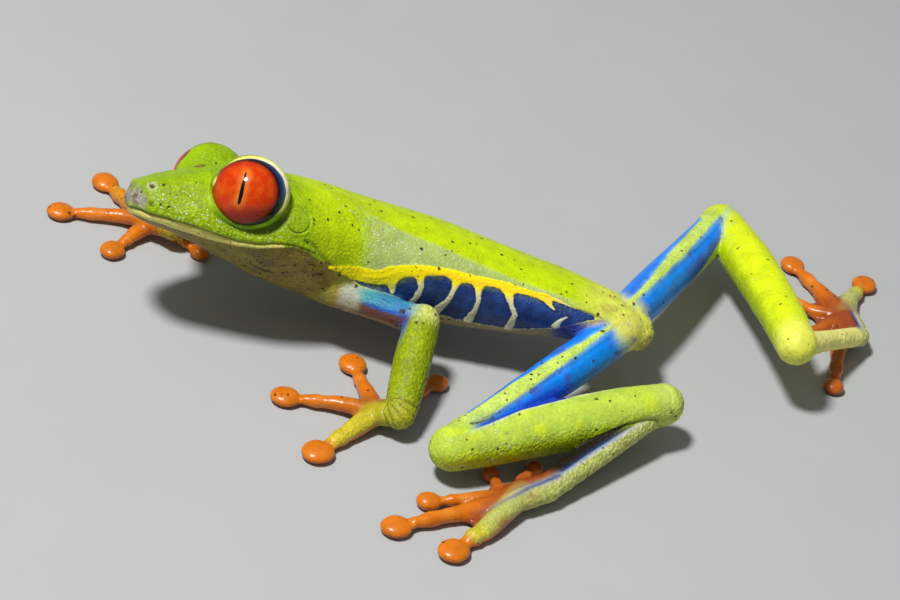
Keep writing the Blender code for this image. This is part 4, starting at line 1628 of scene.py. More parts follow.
            # painted light: the far tarsus takes a brightened copy of the pale tarsus colour
            layer.wash(FAR_TARSUS_LIT, step(share, 1.0, 0.9))
            layer.fields["grain"] *= 0.3
        layer.wash(HEEL_CREAM, step(share, 0.12, 0.0))
        layer.relief -= 0.07 * step(share, 0.14, 0.02) * bell(np.sin(share * 60 + lumps(spots, 0.9)), 0.35)
        layer.more(specks=0.5 if near else 0.15)

    def sole(self) -> None:
        """Carries the tarsus' strips on to the toes."""
        self.outer_strip(np.ones(len(self.at.spots)), self.at.lean)
        self.layer.more(gloss=0.3 * step(self.at.lean, 0, -20))

    def outer_strip(self, presence: Points, lean: Points) -> None:
        """Adds the pale outer side of the foot and the blue line beside it.

        Args:
            presence: how strong the line is, from 0 to 1.
            lean: the points' leans from the line.
        """
        layer, spots = self.layer, self.at.spots
        off = lean * self.at.arc
        layer.wash(SOFT_WHITE, step(off, 0.0, 0.25) * 0.75)
        layer.wash(LINE_GLOW, bell(off - 0.28, 0.14) * presence * 0.6)
        layer.wash(TARSUS_CREAM, step(off, 0.4, 0.75))
        layer.wash(LINE_NAVY, bell(off, 0.2) * presence * 0.95)
        outer = step(off, 0.2, 0.6)
        grit = pebbles(spots, 0.4)
        layer.wash(GRIT_CREAM, outer * step(grit, 0.4, 0.8) * 0.4)
        layer.relief += outer * (0.06 * grit + 0.03 * lumps(spots, 0.8)) - 0.05 * bell(off, 0.3) * presence
        layer.more(grain=0.2 + 0.7 * outer)


@dataclass
class DigitCoat:
    """Markings and relief of a digit. Lifted is how far each point faces up, from -1 to 1."""

    share: Points
    gap: Points
    lifted: Points
    spots: Points
    outer: bool
    hand: bool

    def coat(self) -> Layer:
        """Paints an orange digit with its disc, a painted highlight across it and painted shade on the disc's
        lower side; the outer one is pale on top down to its disc.

        Returns:
            The layer.
        """
        share, lifted = self.share, self.lifted
        layer = Layer.plain(len(self.spots), ORANGE)
        cloud = lumps(self.spots, 0.9)
        layer.wash(PALM_ORANGE if self.hand else WEB_RED, step(share, 0.5, 0.2) * 0.7)
        layer.wash(DISC_ORANGE, step(share, 0.82, 0.92) * 0.8)
        # painted shade: the disc darkens where it faces down
        layer.wash(DISC_UNDERSIDE_SHADE, step(share, 0.8, 0.9) * step(lifted, 0.45, -0.1) * 0.6)
        # painted highlight: a brighter band across the digit, and faint random brighter patches
        layer.wash(TOE_HIGHLIGHT, bell(share - 0.62, 0.07) * 0.35 + 0.1 * step(cloud, 0.2, 0.7))
        if self.outer:
            pale = step(share, 0.86, 0.72) * step(lifted, -0.1, 0.35)
            layer.wash(TOE_YELLOW if self.hand else TARSUS_CREAM, pale)
            layer.wash(TOE_YELLOW, pale * bell(share - 0.72, 0.12))
            layer.more(grain=0.6 * pale)
        layer.relief += 0.03 * cloud - 0.05 * bell(share - 0.83, 0.03) + 0.03 * bell(share - 0.45, 0.05)
        layer.relief -= 0.03 * bell(np.sin(share * 70 + 2 * cloud), 0.3) * bell(share - 0.5, 0.22)
        layer.more(gloss=1.0, specks=0.25)
        layer.wash(WEB_RED, step(self.gap, 0.12, 0.35))
        return layer


@dataclass
class Skin:
    """The frog's one skin: cast over its forms, smoothed, shaped in relief and painted."""

    frog: Frog
    placing: Placing
    grain: float = 0.15
    quick_grain: float = 0.2
    cast_rounds: int = 5
    push: float = 0.5
    junction_rounds: int = 24
    digit_reach: float = 2.2
    bend_reach: float = 1.3
    line: Course = (
        (6.9, -21.9), (5.5, -22.8), (4.1, -23.6), (2.5, -24.8), (1.0, -25.7), (-0.7, -26.4), (-1.8, -26.7),
    )

    def cast(self) -> Net:
        """Casts the smooth skin before relief, with fillets where parts meet.

        Returns:
            The skin's net.
        """
        net = cast_net(self.frog.forms(), self.grain)
        net.smooth(self.cast_rounds, push=self.push)
        log.info("skin cast: %d points", len(net.points))
        return net

    def paint_body(self, canvas: Canvas, points: Points) -> tuple[Points, Points]:
        """Paints trunk, head and lids.

        Args:
            canvas: what collects the layers.
            points: the skin's points.

        Returns:
            Each point's gap from the body, and the share of it that is lid.
        """
        body = self.frog.body.survey(points)
        lid_share = np.zeros(len(points))
        for eye in self.frog.eyes:
            edge, _, share = eye.lid_places(points)
            lid_share = np.maximum(lid_share, share * step(edge, 1.4, 0.9))
            body.gap = np.minimum(body.gap, eye.lid_gap(points))
        where = canvas.near(body.gap)
        part = BodyPlaces(**{name: values[where] for name, values in vars(body).items()})
        canvas.add(where, part.gap, BodyCoat(self.frog.body.head, part).coat(self.frog.eyes))
        log.info("body painted")
        return body.gap, lid_share

    def paint_limb(self, canvas: Canvas, limb: Limb, points: Points, normals: Points) -> Points:
        """Paints a limb's segments and digits.

        Args:
            canvas: what collects the layers.
            limb: the limb.
            points: the skin's points.
            normals: which way it faces there.

        Returns:
            Each point's gap from the limb's first segment.
        """
        gaps, near = [], limb.segments[0].side is Side.LEFT
        for segment in limb.segments:
            share, lean, gap, radius = segment.survey(points)
            gaps.append(gap)
            where = canvas.near(gap)
            at = LimbPlaces(share[where], lean[where], radius[where] * DEGREE, points[where], near)
            canvas.add(where, gap[where], LimbCoat(segment.name, at).coat())
        hand, last = limb.segments[-1].name == "palm", len(limb.digits) - 1
        for number, digit in enumerate(limb.digits):
            share, gap = digit.survey(limb.root, points)
            where = np.nonzero(gap < self.digit_reach)[0]
            places = share[where], gap[where], normals[where, 2], points[where]
            paint = DigitCoat(*places, number == last, hand).coat()
            # painted shade: the two inner toes of each foot darkened towards web red
            if number < 2 and not hand:
                paint.wash(WEB_RED, 0.6)
            if number == last and hand and not near:
                paint.wash(ORANGE, 0.75)
            canvas.add(where, gap[where] * 0.6 + 0.05, paint)
        return gaps[0]

    def creases(self, layer: Layer, points: Points) -> None:
        """Paints shade into the folds where a leg's segments are pressed together, and deepens them.

        Args:
            layer: the skin's layer.
            points: the skin's points.
        """
        for limb in self.frog.limbs[2:]:
            for first, second in zip(limb.segments, limb.segments[1:3]):
                share_a, _, gap_a, _ = first.survey(points)
                share_b, lean, gap_b, _ = second.survey(points)
                apart = step(share_a, 0.95, 0.88) * step(share_b, 0.04, 0.1)
                depth = np.maximum(np.abs(gap_a), np.abs(gap_b))
                layer.relief -= 0.22 * apart * bell(depth, 0.12)
                # painted shade: a dark line along the crease
                line = np.where(apart > 0.3, 0.05 - depth, -1)
                layer.fields["seam"] = np.maximum(layer.fields["seam"], line)
                # painted shadow on the near tarsus's inner side, in the gap under the shank
                if second.name == "tarsus" and second.side is Side.LEFT:
                    off = lean - read(LimbCoat.tarsus_line, share_b)
                    inner = step(off, -7, -15) * step(share_b, 0.98, 0.85)
                    layer.wash(SHADOW, inner * step(share_b, 0.04, 0.12) * step(np.abs(gap_b), 0.32, 0.16))

    def wrist_folds(self, layer: Layer, points: Points) -> None:
        """Deepens the wrinkles that fan out from the inner bend of each wrist, and paints shade into them.

        Args:
            layer: the skin's layer.
            points: the skin's points.
        """
        for limb in self.frog.limbs[:2]:
            arm, palm = limb.segments[1:3]
            back, ahead = unit(arm.start - arm.end), unit(palm.end - palm.start)
            inner = unit(back + ahead)
            side = np.cross(unit(np.cross(back, ahead)), inner)
            off = points - (arm.end + inner * self.bend_reach)
            angle = np.degrees(np.arctan2(off @ side, -(off @ inner)))
            reach = np.linalg.norm(off, axis=1)
            there = step(reach, 0.3, 0.8) * step(reach, 3.4, 2.2) * step(np.abs(angle), 70, 45)
            folds = there * bell(np.sin(angle * 0.15 + 1.3 * lumps(points, 1.0)), 0.36)
            layer.relief -= 0.17 * folds
            # painted shade in the wrinkles
            layer.wash(WRINKLE_SHADE, step(folds, 0.25, 0.7) * step(reach, 3.2, 1.4) * 0.95)

    def foot_line(self, layer: Layer, points: Points, normals: Points) -> None:
        """Carries the blue line of the near tarsus over the foot, between the two outer toes.

        Args:
            layer: the skin's layer.
            points: the skin's points.
            normals: which way it faces there.
        """
        there = step(normals[:, 2], 0.0, 0.3) * step(points[:, 2], 0.9, 1.3) * step(points[:, 2], 4.2, 3.6)
        off = distance_to_path(points[:, 0], points[:, 1], self.line)
        fade = there * step(points[:, 0], self.line[-1][0] - 0.2, self.line[1][0])
        layer.wash(FOOT_GLOW, bell(off, 0.42) * fade * 0.8)
        layer.wash(FOOT_NAVY, bell(off, 0.2) * fade * 0.9)

    def make(self) -> bpy.types.Object:
        """Casts, shapes and paints the skin.

        Returns:
            The piece.
        """
        net = self.cast()
        points, normals = net.points.copy(), net.normals()
        canvas = Canvas(len(points))
        body_gap, lid_share = self.paint_body(canvas, points)
        limb_gaps = [self.paint_limb(canvas, limb, points, normals) for limb in self.frog.limbs]
        layer = canvas.finish()
        self.creases(layer, points)
        self.wrist_folds(layer, points)
        self.foot_line(layer, points, normals)
        log.info("limbs painted")
        junction = bell(np.maximum(np.minimum(body_gap, FAR), np.minimum.reduce(limb_gaps)), 0.8)
        net.smooth(self.junction_rounds, junction * (1 - lid_share))
        on_floor = step(0.5 - net.points[:, 2], 0.1, 0.4)
        net.points += net.normals() * (layer.relief * (1 - 0.7 * on_floor))[:, None]
        for eye in self.frog.eyes:
            net.points = eye.open_lids(net.points)
        net.points[:, 2] = np.maximum(net.points[:, 2], 0)
        return self.piece(net, layer)

    def piece(self, net: Net, layer: Layer) -> bpy.types.Object:
        """Makes the skin's piece with its painted attributes.

        Args:
            net: the skin's net.
            layer: the skin's layer.

        Returns:
            The piece.
        """
        skin = new_piece("skin", self.placing.set(net.points), net.faces)
        sides = [side.word for side in Side]
        names = ("upper_arm", "forearm", "hand", "thigh", "shank", "tarsus", "foot", "eardrum")
        nodes = [f"{name}_{side}" for name in names for side in sides]
        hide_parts("head", "lower_jaw", "trunk", *nodes)
        paint = skin.data.attributes.new("ground", "FLOAT_VECTOR", "POINT")
        paint.data.foreach_set("vector", layer.ground.astype(np.float32).ravel())
        paint_fields(skin, layer.fields)
        skin.data.materials.append(SkinFinish().material())
        return skin


def paint_fields(piece: bpy.types.Object, fields: Fields) -> None:
    """Gives a piece painted fields, which its finish reads."""
    for name, values in fields.items():
        piece.data.attributes.new(name, "FLOAT", "POINT").data.foreach_set("value", values.astype(np.float32))


def new_piece(
    name: str, points: Points, faces: Points | list[tuple[int, ...]]
) -> bpy.types.Object:
    """Makes a smooth-shaded piece that rides on the body.

    Args:
        name: its name.
        points: its points in metres.
        faces: its faces.

    Returns:
        The piece.
    """
    mesh = bpy.data.meshes.new(name)
    mesh.from_pydata(points.tolist(), [], faces.tolist() if isinstance(faces, np.ndarray) else faces)
    mesh.polygons.foreach_set("use_smooth", np.ones(len(mesh.polygons), bool))
    mesh.update()
    piece = bpy.data.objects.new(name, mesh)
    bpy.context.scene.collection.objects.link(piece)
    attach(piece, "root")
    log.info("piece %s: %d faces", name, len(mesh.polygons))
    return piece


# ---- Finishes ----


class Board:
    """Adds and links the nodes of one tree."""

    def __init__(self, tree: bpy.types.NodeTree) -> None:
        """Starts on a tree."""
        self.tree = tree

    def feed(self, node: bpy.types.Node, inputs: dict) -> None:
        """Sets a node's inputs.

        Args:
            node: the node.
            inputs: values, or the sockets linked to them, by the inputs' names or numbers.
        """
        for name, value in inputs.items():
            if isinstance(value, bpy.types.NodeSocket):
                self.tree.links.new(value, node.inputs[name])
            elif isinstance(value, tuple) and node.inputs[name].type == "RGBA":
                node.inputs[name].default_value = (*value, 1.0)
            else:
                node.inputs[name].default_value = value

    def put(self, kind: str, inputs: dict, out: int | str = 0, **settings: object) -> Socket:
        """Adds a node.

        Args:
            kind: the node's type.
            inputs: what its inputs take.
            out: the output to return.
            settings: the node's own settings.

        Returns:
            The output socket.
        """
        node = self.tree.nodes.new(kind)
        for name, value in settings.items():
            setattr(node, name, value)
        self.feed(node, inputs)
        return node.outputs[out]

    def math(self, operation: str, a: object, b: object, clamp: bool = False) -> Socket:
        """A difference, a quotient or another operation of two values."""
        return self.put("ShaderNodeMath", {0: a, 1: b}, operation=operation, use_clamp=clamp)

    def times(self, a: object, b: object) -> Socket:
        """The product of two values."""
        return self.math("MULTIPLY", a, b)

    def plus(self, a: object, b: object) -> Socket:
        """The sum of two values."""
        return self.math("ADD", a, b)

    def ramp(self, value: object, low: float, high: float, start: float = 0.0, end: float = 1.0) -> Socket:
        """A soft step of a value from start at low to end at high."""
        inputs = {"Value": value, "From Min": low, "From Max": high, "To Min": start, "To Max": end}
        return self.put("ShaderNodeMapRange", inputs, interpolation_type="SMOOTHSTEP")

    def mix(self, share: object, a: object, b: object) -> Socket:
        """Two colours mixed by a share."""
        return self.put("ShaderNodeMix", {0: share, 6: a, 7: b}, 2, data_type="RGBA")

    def scaled(self, vector: object, factor: object) -> Socket:
        """A vector or a colour made longer or brighter by a factor."""
        return self.put("ShaderNodeVectorMath", {0: vector, "Scale": factor}, operation="SCALE")

    def noise(self, place: object, scale: object, detail: float, out: int | str = 0) -> Socket:
        """Smooth noise."""
        return self.put("ShaderNodeTexNoise", {"Vector": place, "Scale": scale, "Detail": detail}, out)

    def cells(self, place: object, scale: object, out: str = "Distance", feature: str = "F1") -> Socket:
        """Scattered cells, by the distance from their middles or edges or by their colours."""
        return self.put("ShaderNodeTexVoronoi", {"Vector": place, "Scale": scale}, out, feature=feature)

    def field(self, name: str) -> Socket:
        """A painted field."""
        return self.put("ShaderNodeAttribute", {}, "Fac", attribute_name=name)

    def millimetres(self) -> Socket:
        """The object's own coordinates in millimetres."""
        return self.scaled(self.put("ShaderNodeTexCoord", {}, "Object"), 1000.0)

    def mottled(self, place: object, colour: object, size: float, amount: float) -> Socket:
        """A colour made uneven."""
        inputs = {"Place": place, "Colour": colour, "Size": size, "Amount": amount}
        return self.put("ShaderNodeGroup", inputs, "Colour", node_tree=Effects.mottle())

    def granules(self, place: object, size: float) -> Socket:
        """Rounded granules."""
        inputs = {"Place": place, "Size": size}
        return self.put("ShaderNodeGroup", inputs, "Height", node_tree=Effects.granules())

    def specks(self, place: object, size: float, density: object, roundness: float) -> Socket:
        """Scattered round specks."""
        inputs = {"Place": place, "Size": size, "Density": density, "Roundness": roundness}
        return self.put("ShaderNodeGroup", inputs, "Mask", node_tree=Effects.specks())


def new_group(name: str, inputs: dict[str, str], outputs: dict[str, str]) -> tuple[Board, dict, dict]:
    """Starts a node group.

    Args:
        name: its name.
        inputs: its inputs' names and socket types.
        outputs: its outputs' names and socket types.

    Returns:
        The board of its tree, its input sockets and its output sockets by name.
    """
    tree = bpy.data.node_groups.new(name, "ShaderNodeTree")
    for label, kind in inputs.items():
        tree.interface.new_socket(label, in_out="INPUT", socket_type=kind)
    for label, kind in outputs.items():
        tree.interface.new_socket(label, in_out="OUTPUT", socket_type=kind)
    start, end = tree.nodes.new("NodeGroupInput"), tree.nodes.new("NodeGroupOutput")
    return Board(tree), dict(start.outputs.items()), dict(end.inputs.items())


NUMBER, VECTOR, COLOUR = "NodeSocketFloat", "NodeSocketVector", "NodeSocketColor"


class Effects:
    """Node groups that several finishes share, each built once."""

    @staticmethod
    @cache
    def mottle() -> bpy.types.NodeTree:
        """Builds uneven colour: broad clouds and fine grain that darken and lighten a colour.

        Returns:
            The group.
        """
        inputs = {"Place": VECTOR, "Colour": COLOUR, "Size": NUMBER, "Amount": NUMBER}
        board, ins, outs = new_group("Mottle", inputs, {"Colour": COLOUR})
        scale = board.math("DIVIDE", 1.0, ins["Size"])
        cloud = board.noise(ins["Place"], scale, 4.0)
        fine = board.noise(ins["Place"], board.times(scale, 6.0), 2.0)
        both = board.plus(board.times(cloud, 1.3), board.times(fine, 0.7))
        swing = board.times(board.math("SUBTRACT", both, 1.0), ins["Amount"])
        result = board.scaled(ins["Colour"], board.plus(board.times(swing, 2.0), 1.0))
        board.tree.links.new(result, outs["Colour"])
        return board.tree

    @staticmethod
    @cache
    def granules() -> bpy.types.NodeTree:
        """Builds rounded granules: 1 on top of each and 0 in the gaps.

        Returns:
            The group.
        """
        board, ins, outs = new_group("Granules", {"Place": VECTOR, "Size": NUMBER}, {"Height": NUMBER})
        cells = board.cells(ins["Place"], board.math("DIVIDE", 1.0, ins["Size"]), feature="SMOOTH_F1")
        board.tree.links.new(board.ramp(cells, 0.65, 0.05), outs["Height"])
        return board.tree

    @staticmethod
    @cache
    def specks() -> bpy.types.NodeTree:
        """Builds scattered round specks: 1 inside, 0 outside; the more the density, the more there are.

        Returns:
            The group.
        """
        inputs = {"Place": VECTOR, "Size": NUMBER, "Density": NUMBER, "Roundness": NUMBER}
        board, ins, outs = new_group("Specks", inputs, {"Mask": NUMBER})
        scale = board.math("DIVIDE", 1.0, ins["Size"])
        spot = board.cells(ins["Place"], scale)
        pick = board.cells(ins["Place"], scale, "Color")
        draw = board.put("ShaderNodeSeparateColor", {"Color": pick}, 0)
        second = board.put("ShaderNodeSeparateColor", {"Color": pick}, 1)
        chosen = board.math("LESS_THAN", draw, ins["Density"])
        size = board.times(ins["Roundness"], board.plus(second, 0.35))
        near = board.math("DIVIDE", board.math("SUBTRACT", size, spot), 0.08, clamp=True)
        board.tree.links.new(board.times(chosen, near), outs["Mask"])
        return board.tree


def new_material(name: str) -> tuple[bpy.types.Material, Board, bpy.types.Node]:
    """Starts a material.

    Args:
        name: its name.

    Returns:
        The material, the board of its tree and its principled shader.
    """
    material = bpy.data.materials.new(name)
    material.use_nodes = True
    return material, Board(material.node_tree), material.node_tree.nodes["Principled BSDF"]


@dataclass(frozen=True)
class SkinFinish:
    """The moist skin of the whole frog. Sizes are in millimetres, but bump and subsurface scale in metres."""

    name: str = "frog_skin"
    navy_dark: Colour = (0.010, 0.028, 0.12)
    navy_light: Colour = (0.015, 0.06, 0.24)
    olive: Colour = (0.13, 0.16, 0.06)
    yellow: Colour = (0.98, 0.84, 0.0)
    orange_yellow: Colour = (0.98, 0.62, 0.004)
    cream: Colour = (0.72, 0.70, 0.42)
    lip: Colour = (0.74, 0.66, 0.16)
    # the dark line colour: the mouth line, and painted shade along folds and creases
    seam: Colour = (0.035, 0.03, 0.01)
    # painted shade between the granules
    pits: Colour = (0.05, 0.07, 0.01)
    # the colour of painted glints
    sparkle: Colour = (0.82, 0.86, 0.62)
    dirt: Colour = (0.03, 0.015, 0.006)
    violet: Colour = (0.07, 0.05, 0.40)
    granule_size: float = 0.27
    sparkle_size: float = 0.23
    dirt_size: float = 0.62
    crumb_size: float = 2.4
    roughness: float = 0.46
    specular: float = 0.22
    coat_roughness: float = 0.22
    subsurface: float = 0.08
    subsurface_radius: Triple = (0.6, 0.5, 0.2)
    subsurface_scale: float = 0.0006
    bump: float = 0.00008

    def material(self) -> bpy.types.Material:
        """Builds the material.

        Returns:
            The material.
        """
        material, board, shader = new_material(self.name)
        place = board.millimetres()
        ground = board.put("ShaderNodeAttribute", {}, "Vector", attribute_name="ground")
        colour = board.mottled(place, ground, 1.6, 0.26)
        wobble = board.math("SUBTRACT", board.noise(place, 2.2, 3.0), 0.5)
        cloud = board.noise(place, 0.75, 4.0)
        wobbly = board.scaled(board.noise(place, 5.0, 1.0, "Color"), 0.3)
        tissue = board.times(board.field("tissue"), board.ramp(cloud, 0.5, 0.72))
        colour = board.mix(board.times(tissue, 0.55), colour, self.violet)
        colour = self.flank(board, colour, wobble, cloud)
        granule = board.granules(place, self.granule_size)
        grain = board.field("grain")
        # painted shade: darkens the colour in the hollows between granules
        gaps = board.times(grain, board.ramp(granule, 0.5, 0.05, 0.0, 0.4))
        colour = board.mix(gaps, colour, board.mix(0.72, colour, self.pits))
        lip = board.ramp(board.plus(board.field("lip"), board.times(wobble, 0.18)), -0.05, 0.06)
        colour = board.mix(lip, colour, self.lip)
        # the dark mouth line, and painted shade lines along folds and creases
        colour = board.mix(board.ramp(board.field("seam"), -0.05, 0.04), colour, self.seam)
        # painted highlight: white glints mixed into the colour, with lower roughness and a little bump
        sparkle = board.specks(place, self.sparkle_size, board.times(board.field("sparkle"), 0.6), 0.4)
        colour = board.mix(board.times(sparkle, 0.64), colour, self.sparkle)
        dirt = self.specks(board, place, wobbly, self.dirt_size, 0.75, 0.25)
        crumbs = self.specks(board, place, wobbly, self.crumb_size, 0.5, 0.14)
        colour = board.mix(board.times(board.math("MAXIMUM", dirt, crumbs), 0.92), colour, self.dirt)
        gloss = board.field("gloss")
        rough = board.math("SUBTRACT", self.roughness, board.times(gloss, 0.14))
        rough = board.math("SUBTRACT", rough, board.times(sparkle, 0.2))
        rough = board.plus(rough, board.times(wobble, 0.16))
        coat = board.times(gloss, 0.35)
        fine = board.noise(place, 7.0, 3.0)
        height = board.plus(board.times(granule, board.plus(grain, 0.12)), board.times(fine, 0.35))
        height = board.plus(height, board.times(sparkle, 0.7))
        board.feed(shader, {
            "Base Color": colour,
            "Roughness": rough,
            "Coat Weight": coat,
            "Coat Roughness": self.coat_roughness,
            "Specular IOR Level": self.specular,
            "Subsurface Weight": self.subsurface,
            "Subsurface Radius": self.subsurface_radius,
            "Subsurface Scale": self.subsurface_scale,
            "Normal": board.put(
                "ShaderNodeBump", {"Height": height, "Distance": self.bump, "Strength": 0.8}, "Normal"),
        })
        return material

    @staticmethod
    def specks(
        board: Board, place: Socket, wobbly: Socket, size: float, density: float, roundness: float
    ) -> Socket:
        """Adds dirt, in specks of uneven outline.

        Args:
            board: the board of the material's tree.
            place: the place in millimetres.
            wobbly: how far the outline strays.
            size: the size of the cells that hold one speck each.
            density: the share of cells that hold one where the field is 1.
            roundness: the size of a speck in its cell.

        Returns:
            The specks' mask.
        """
        place = board.put("ShaderNodeVectorMath", {0: place, 1: wobbly}, operation="ADD")
        return board.specks(place, size, board.times(board.field("specks"), density), roundness)

    def flank(self, board: Board, colour: Socket, wobble: Socket, cloud: Socket) -> Socket:
        """Lays the blue flank with its stripe and bars over a colour.

        Args:
            board: the board of the material's tree.
            colour: the colour under it.
            wobble: a fine noise round 0, which roughens the edges.
            cloud: a broad noise, which varies the blue.

        Returns:
            The colour.
        """
        navy = board.ramp(board.plus(board.field("navy"), board.times(wobble, 0.5)), -0.05, 0.14)
        stripe_edge = board.plus(board.field("stripe"), board.times(wobble, 0.3))
        blue = board.mix(board.ramp(cloud, 0.35, 0.65), self.navy_dark, self.navy_light)
        blue = board.mix(board.ramp(stripe_edge, -0.55, -0.1, 0.0, 0.65), blue, self.navy_dark)
        veil = board.times(board.field("veil"), board.ramp(wobble, -0.25, 0.15))
        blue = board.mix(board.times(veil, 0.85), blue, self.olive)
        colour = board.mix(navy, colour, blue)
        yellow = board.mix(board.field("ripe"), self.yellow, self.orange_yellow)
        yellow = board.mix(board.field("white"), yellow, self.cream)
        return board.mix(board.ramp(stripe_edge, -0.05, 0.07), colour, yellow)


@dataclass(frozen=True)
class EyeFinish:
    """The glossy eye: red iris, dark slit, black rim and a blue crescent behind it, with painted shade
    darkening its lower part.
    """

    name: str = "frog_eye"
    red: Colour = (0.62, 0.036, 0.0)
    orange: Colour = (0.68, 0.08, 0.002)
    deep_red: Colour = (0.30, 0.012, 0.006)
    amber: Colour = (0.80, 0.26, 0.03)
    rim: Colour = (0.07, 0.004, 0.002)
    black: Colour = (0.006, 0.004, 0.006)
    steel: Colour = (0.10, 0.23, 0.42)
    navy: Colour = (0.012, 0.03, 0.11)
    pale: Colour = (0.70, 0.68, 0.55)
    coat: float = 0.35
    coat_roughness: float = 0.03
    specular: float = 0.08
    bump: float = 0.00002

    def material(self) -> bpy.types.Material:
        """Builds the material.

        Returns:
            The material.
        """
        material, board, shader = new_material(self.name)
        place = board.millimetres()
        noise = board.noise(place, 1.1, 5.0)
        veins = board.cells(place, 1.9, feature="DISTANCE_TO_EDGE")
        iris = board.field("iris")
        pupil = board.field("pupil")
        colour = board.mix(board.ramp(noise, 0.38, 0.66), self.red, self.orange)
        colour = board.mix(board.ramp(veins, 0.07, 0.0, 0.0, 0.22), colour, self.deep_red)
        colour = board.mix(board.ramp(pupil, -0.7, -0.05, 0.0, 0.5), colour, self.amber)
        colour = board.mix(board.ramp(iris, 0.6, 0.0, 0.0, 0.75), colour, self.deep_red)
        # painted shade: the iris darkens towards the bottom of the ball
        colour = board.mix(board.ramp(board.field("upper"), 0.6, 0.0, 0.0, 0.85), colour, self.deep_red)
        colour = board.mix(board.ramp(iris, 0.2, 0.0, 0.0, 0.6), colour, self.rim)
        colour = board.mottled(place, colour, 0.7, 0.18)
        colour = board.mix(board.ramp(pupil, -0.03, 0.02), colour, self.black)
        white = board.mix(board.ramp(iris, -0.3, -0.75), self.navy, self.steel)
        white = board.mix(board.ramp(iris, -0.75, -1.25, 0.0, 0.8), white, self.pale)
        # painted shade: the crescent turns black towards the bottom of the ball
        white = board.mix(board.field("upper"), self.black, white)
        white = board.mix(board.ramp(iris, -0.26, -0.1), white, self.black)
        board.feed(shader, {
            "Base Color": board.mix(board.ramp(iris, -0.035, 0.035), white, colour),
            "Roughness": board.ramp(noise, 0.3, 0.7, 0.22, 0.34),
            "Coat Weight": self.coat,
            "Coat Roughness": self.coat_roughness,
            "Specular IOR Level": self.specular,
            "Normal": board.put(
                "ShaderNodeBump", {"Height": veins, "Distance": self.bump, "Strength": 0.3}, "Normal"),
        })
        return material


@dataclass(frozen=True)
class FloorFinish:
    """The plain pale floor of the studio."""

    name: str = "studio_floor"
    colour: Colour = (0.45, 0.46, 0.45)
    roughness: float = 0.8

    def material(self) -> bpy.types.Material:
        """Builds the material.

        Returns:
            The material.
        """
        material, board, shader = new_material(self.name)
        colour = board.mottled(board.millimetres(), self.colour, 60.0, 0.03)
        board.feed(shader, {"Base Color": colour, "Roughness": self.roughness})
        return material


@dataclass
class EyeBall:
    """The glossy ball of an eye, as its own piece."""

    eye: Eye
    placing: Placing
    pupil: tuple[Triple, ...] = (
        (0.10, 1.72, 0.05), (0.16, 1.45, 0.1), (0.40, 0.6, 0.15), (0.62, -0.25, 0.18), (0.86, -1.0, 0.14),
        (0.92, -1.12, 0.07),
    )
    segments: int = 192
    rings: int = 110

    def make(self) -> bpy.types.Object:
        """Builds and paints the ball.

        Returns:
            The piece.
        """
        size = np.array(self.eye.ball)
        form = spheroid(self.eye.centre(), self.eye.turn(), size, self.segments, self.rings)
        x, y, out = self.eye.local(form.points).T
        name = f"eyeball_{self.eye.side.word}"
        ball = new_piece(name, self.placing.set(form.points), form.faces)
        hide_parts(f"eye_{self.eye.side.word}")
        half_width, half_height = self.eye.iris
        reach = np.hypot((x - self.eye.iris_ahead) / half_width, y / half_height)
        iris = np.where(out > 0, (1 - reach) * half_height, -1)
        pupil = np.where(out > 0, ribbon(x, y, self.pupil), -1)
        # upper rises from 0 at the ball's bottom to 1 at its middle; the finish paints shade below it
        fields = {"iris": iris, "pupil": np.clip(pupil, -2, 1), "upper": step(y, -2.6, 0.2)}
        paint_fields(ball, fields)
        ball.data.materials.append(EyeFinish().material())
        return ball


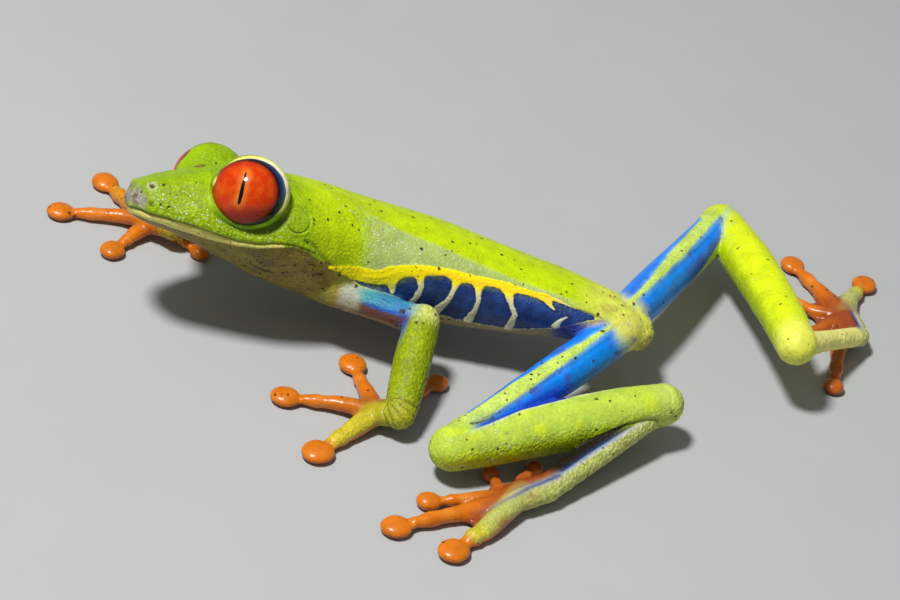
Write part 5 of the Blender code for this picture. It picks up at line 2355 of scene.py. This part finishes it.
@dataclass
class Studio:
    """Floor, soft light and camera."""

    placing: Placing
    camera_at: Triple = (-48.88, -240.96, 178.21)
    camera_right: Triple = (0.9817, -0.0607, 0.1804)
    camera_up: Triple = (-0.1099, 0.5933, 0.7975)
    lens: float = 126.0
    sensor: float = 36.0
    clip: float = 0.01
    key_towards: Triple = (-0.318, -0.187, 0.929)
    key_distance: float = 0.5
    key_aim: Triple = (-24, 0, 14)
    key_size: float = 0.08
    key_power: float = 2.9
    sky_power: float = 0.2
    sky_colour: Colour = (0.92, 0.96, 1.0)
    floor_half: float = 1.5

    def make(self) -> None:
        """Sets the studio up."""
        self.floor()
        self.lights()
        self.camera()

    def floor(self) -> None:
        """A plain pale floor at the level the frog rests on."""
        h = self.floor_half
        mesh = bpy.data.meshes.new("floor")
        mesh.from_pydata([(-h, -h, 0), (h, -h, 0), (h, h, 0), (-h, h, 0)], [], [(0, 1, 2, 3)])
        piece = bpy.data.objects.new("floor", mesh)
        piece.data.materials.append(FloorFinish().material())
        bpy.context.scene.collection.objects.link(piece)
        log.info("piece floor")

    def lights(self) -> None:
        """A soft key nearly overhead, and a dim even sky."""
        towards = Vector(self.key_towards)
        lamp = bpy.data.lights.new("key", "AREA")
        lamp.shape, lamp.size, lamp.energy = "DISK", self.key_size, self.key_power
        key = bpy.data.objects.new("key", lamp)
        key.location = Vector(self.placing.set(vec(*self.key_aim))) + towards * self.key_distance
        key.rotation_euler = towards.to_track_quat("Z", "Y").to_euler()
        bpy.context.scene.collection.objects.link(key)
        world = bpy.data.worlds.new("sky")
        world.use_nodes = True
        sky = world.node_tree.nodes["Background"]
        sky.inputs["Color"].default_value = (*self.sky_colour, 1.0)
        sky.inputs["Strength"].default_value = self.sky_power
        bpy.context.scene.world = world

    def camera(self) -> None:
        """The camera, with the frog seen from its left side and a little above."""
        data = bpy.data.cameras.new("camera")
        data.lens, data.sensor_width, data.clip_start = self.lens, self.sensor, self.clip
        camera = bpy.data.objects.new("camera", data)
        right, up = Vector(self.camera_right).normalized(), Vector(self.camera_up)
        back = right.cross(up).normalized()
        turn = Matrix((right, back.cross(right), back)).transposed().to_4x4()
        camera.matrix_world = Matrix.Translation(Vector(self.placing.set(np.array(self.camera_at)))) @ turn
        bpy.context.scene.collection.objects.link(camera)
        bpy.context.scene.camera = camera
        bpy.context.scene.view_settings.view_transform = "Standard"


def main() -> None:
    """Makes the frog and its studio."""
    logging.basicConfig(level=logging.INFO, format="%(relativeCreated)d %(name)s: %(message)s")
    frog = Frog()
    placing = Placing.on_frame(frog)
    Skin(frog, placing).make()
    for eye in frog.eyes:
        EyeBall(eye, placing).make()
    Studio(placing).make()


if __name__ == "__main__":
    main()
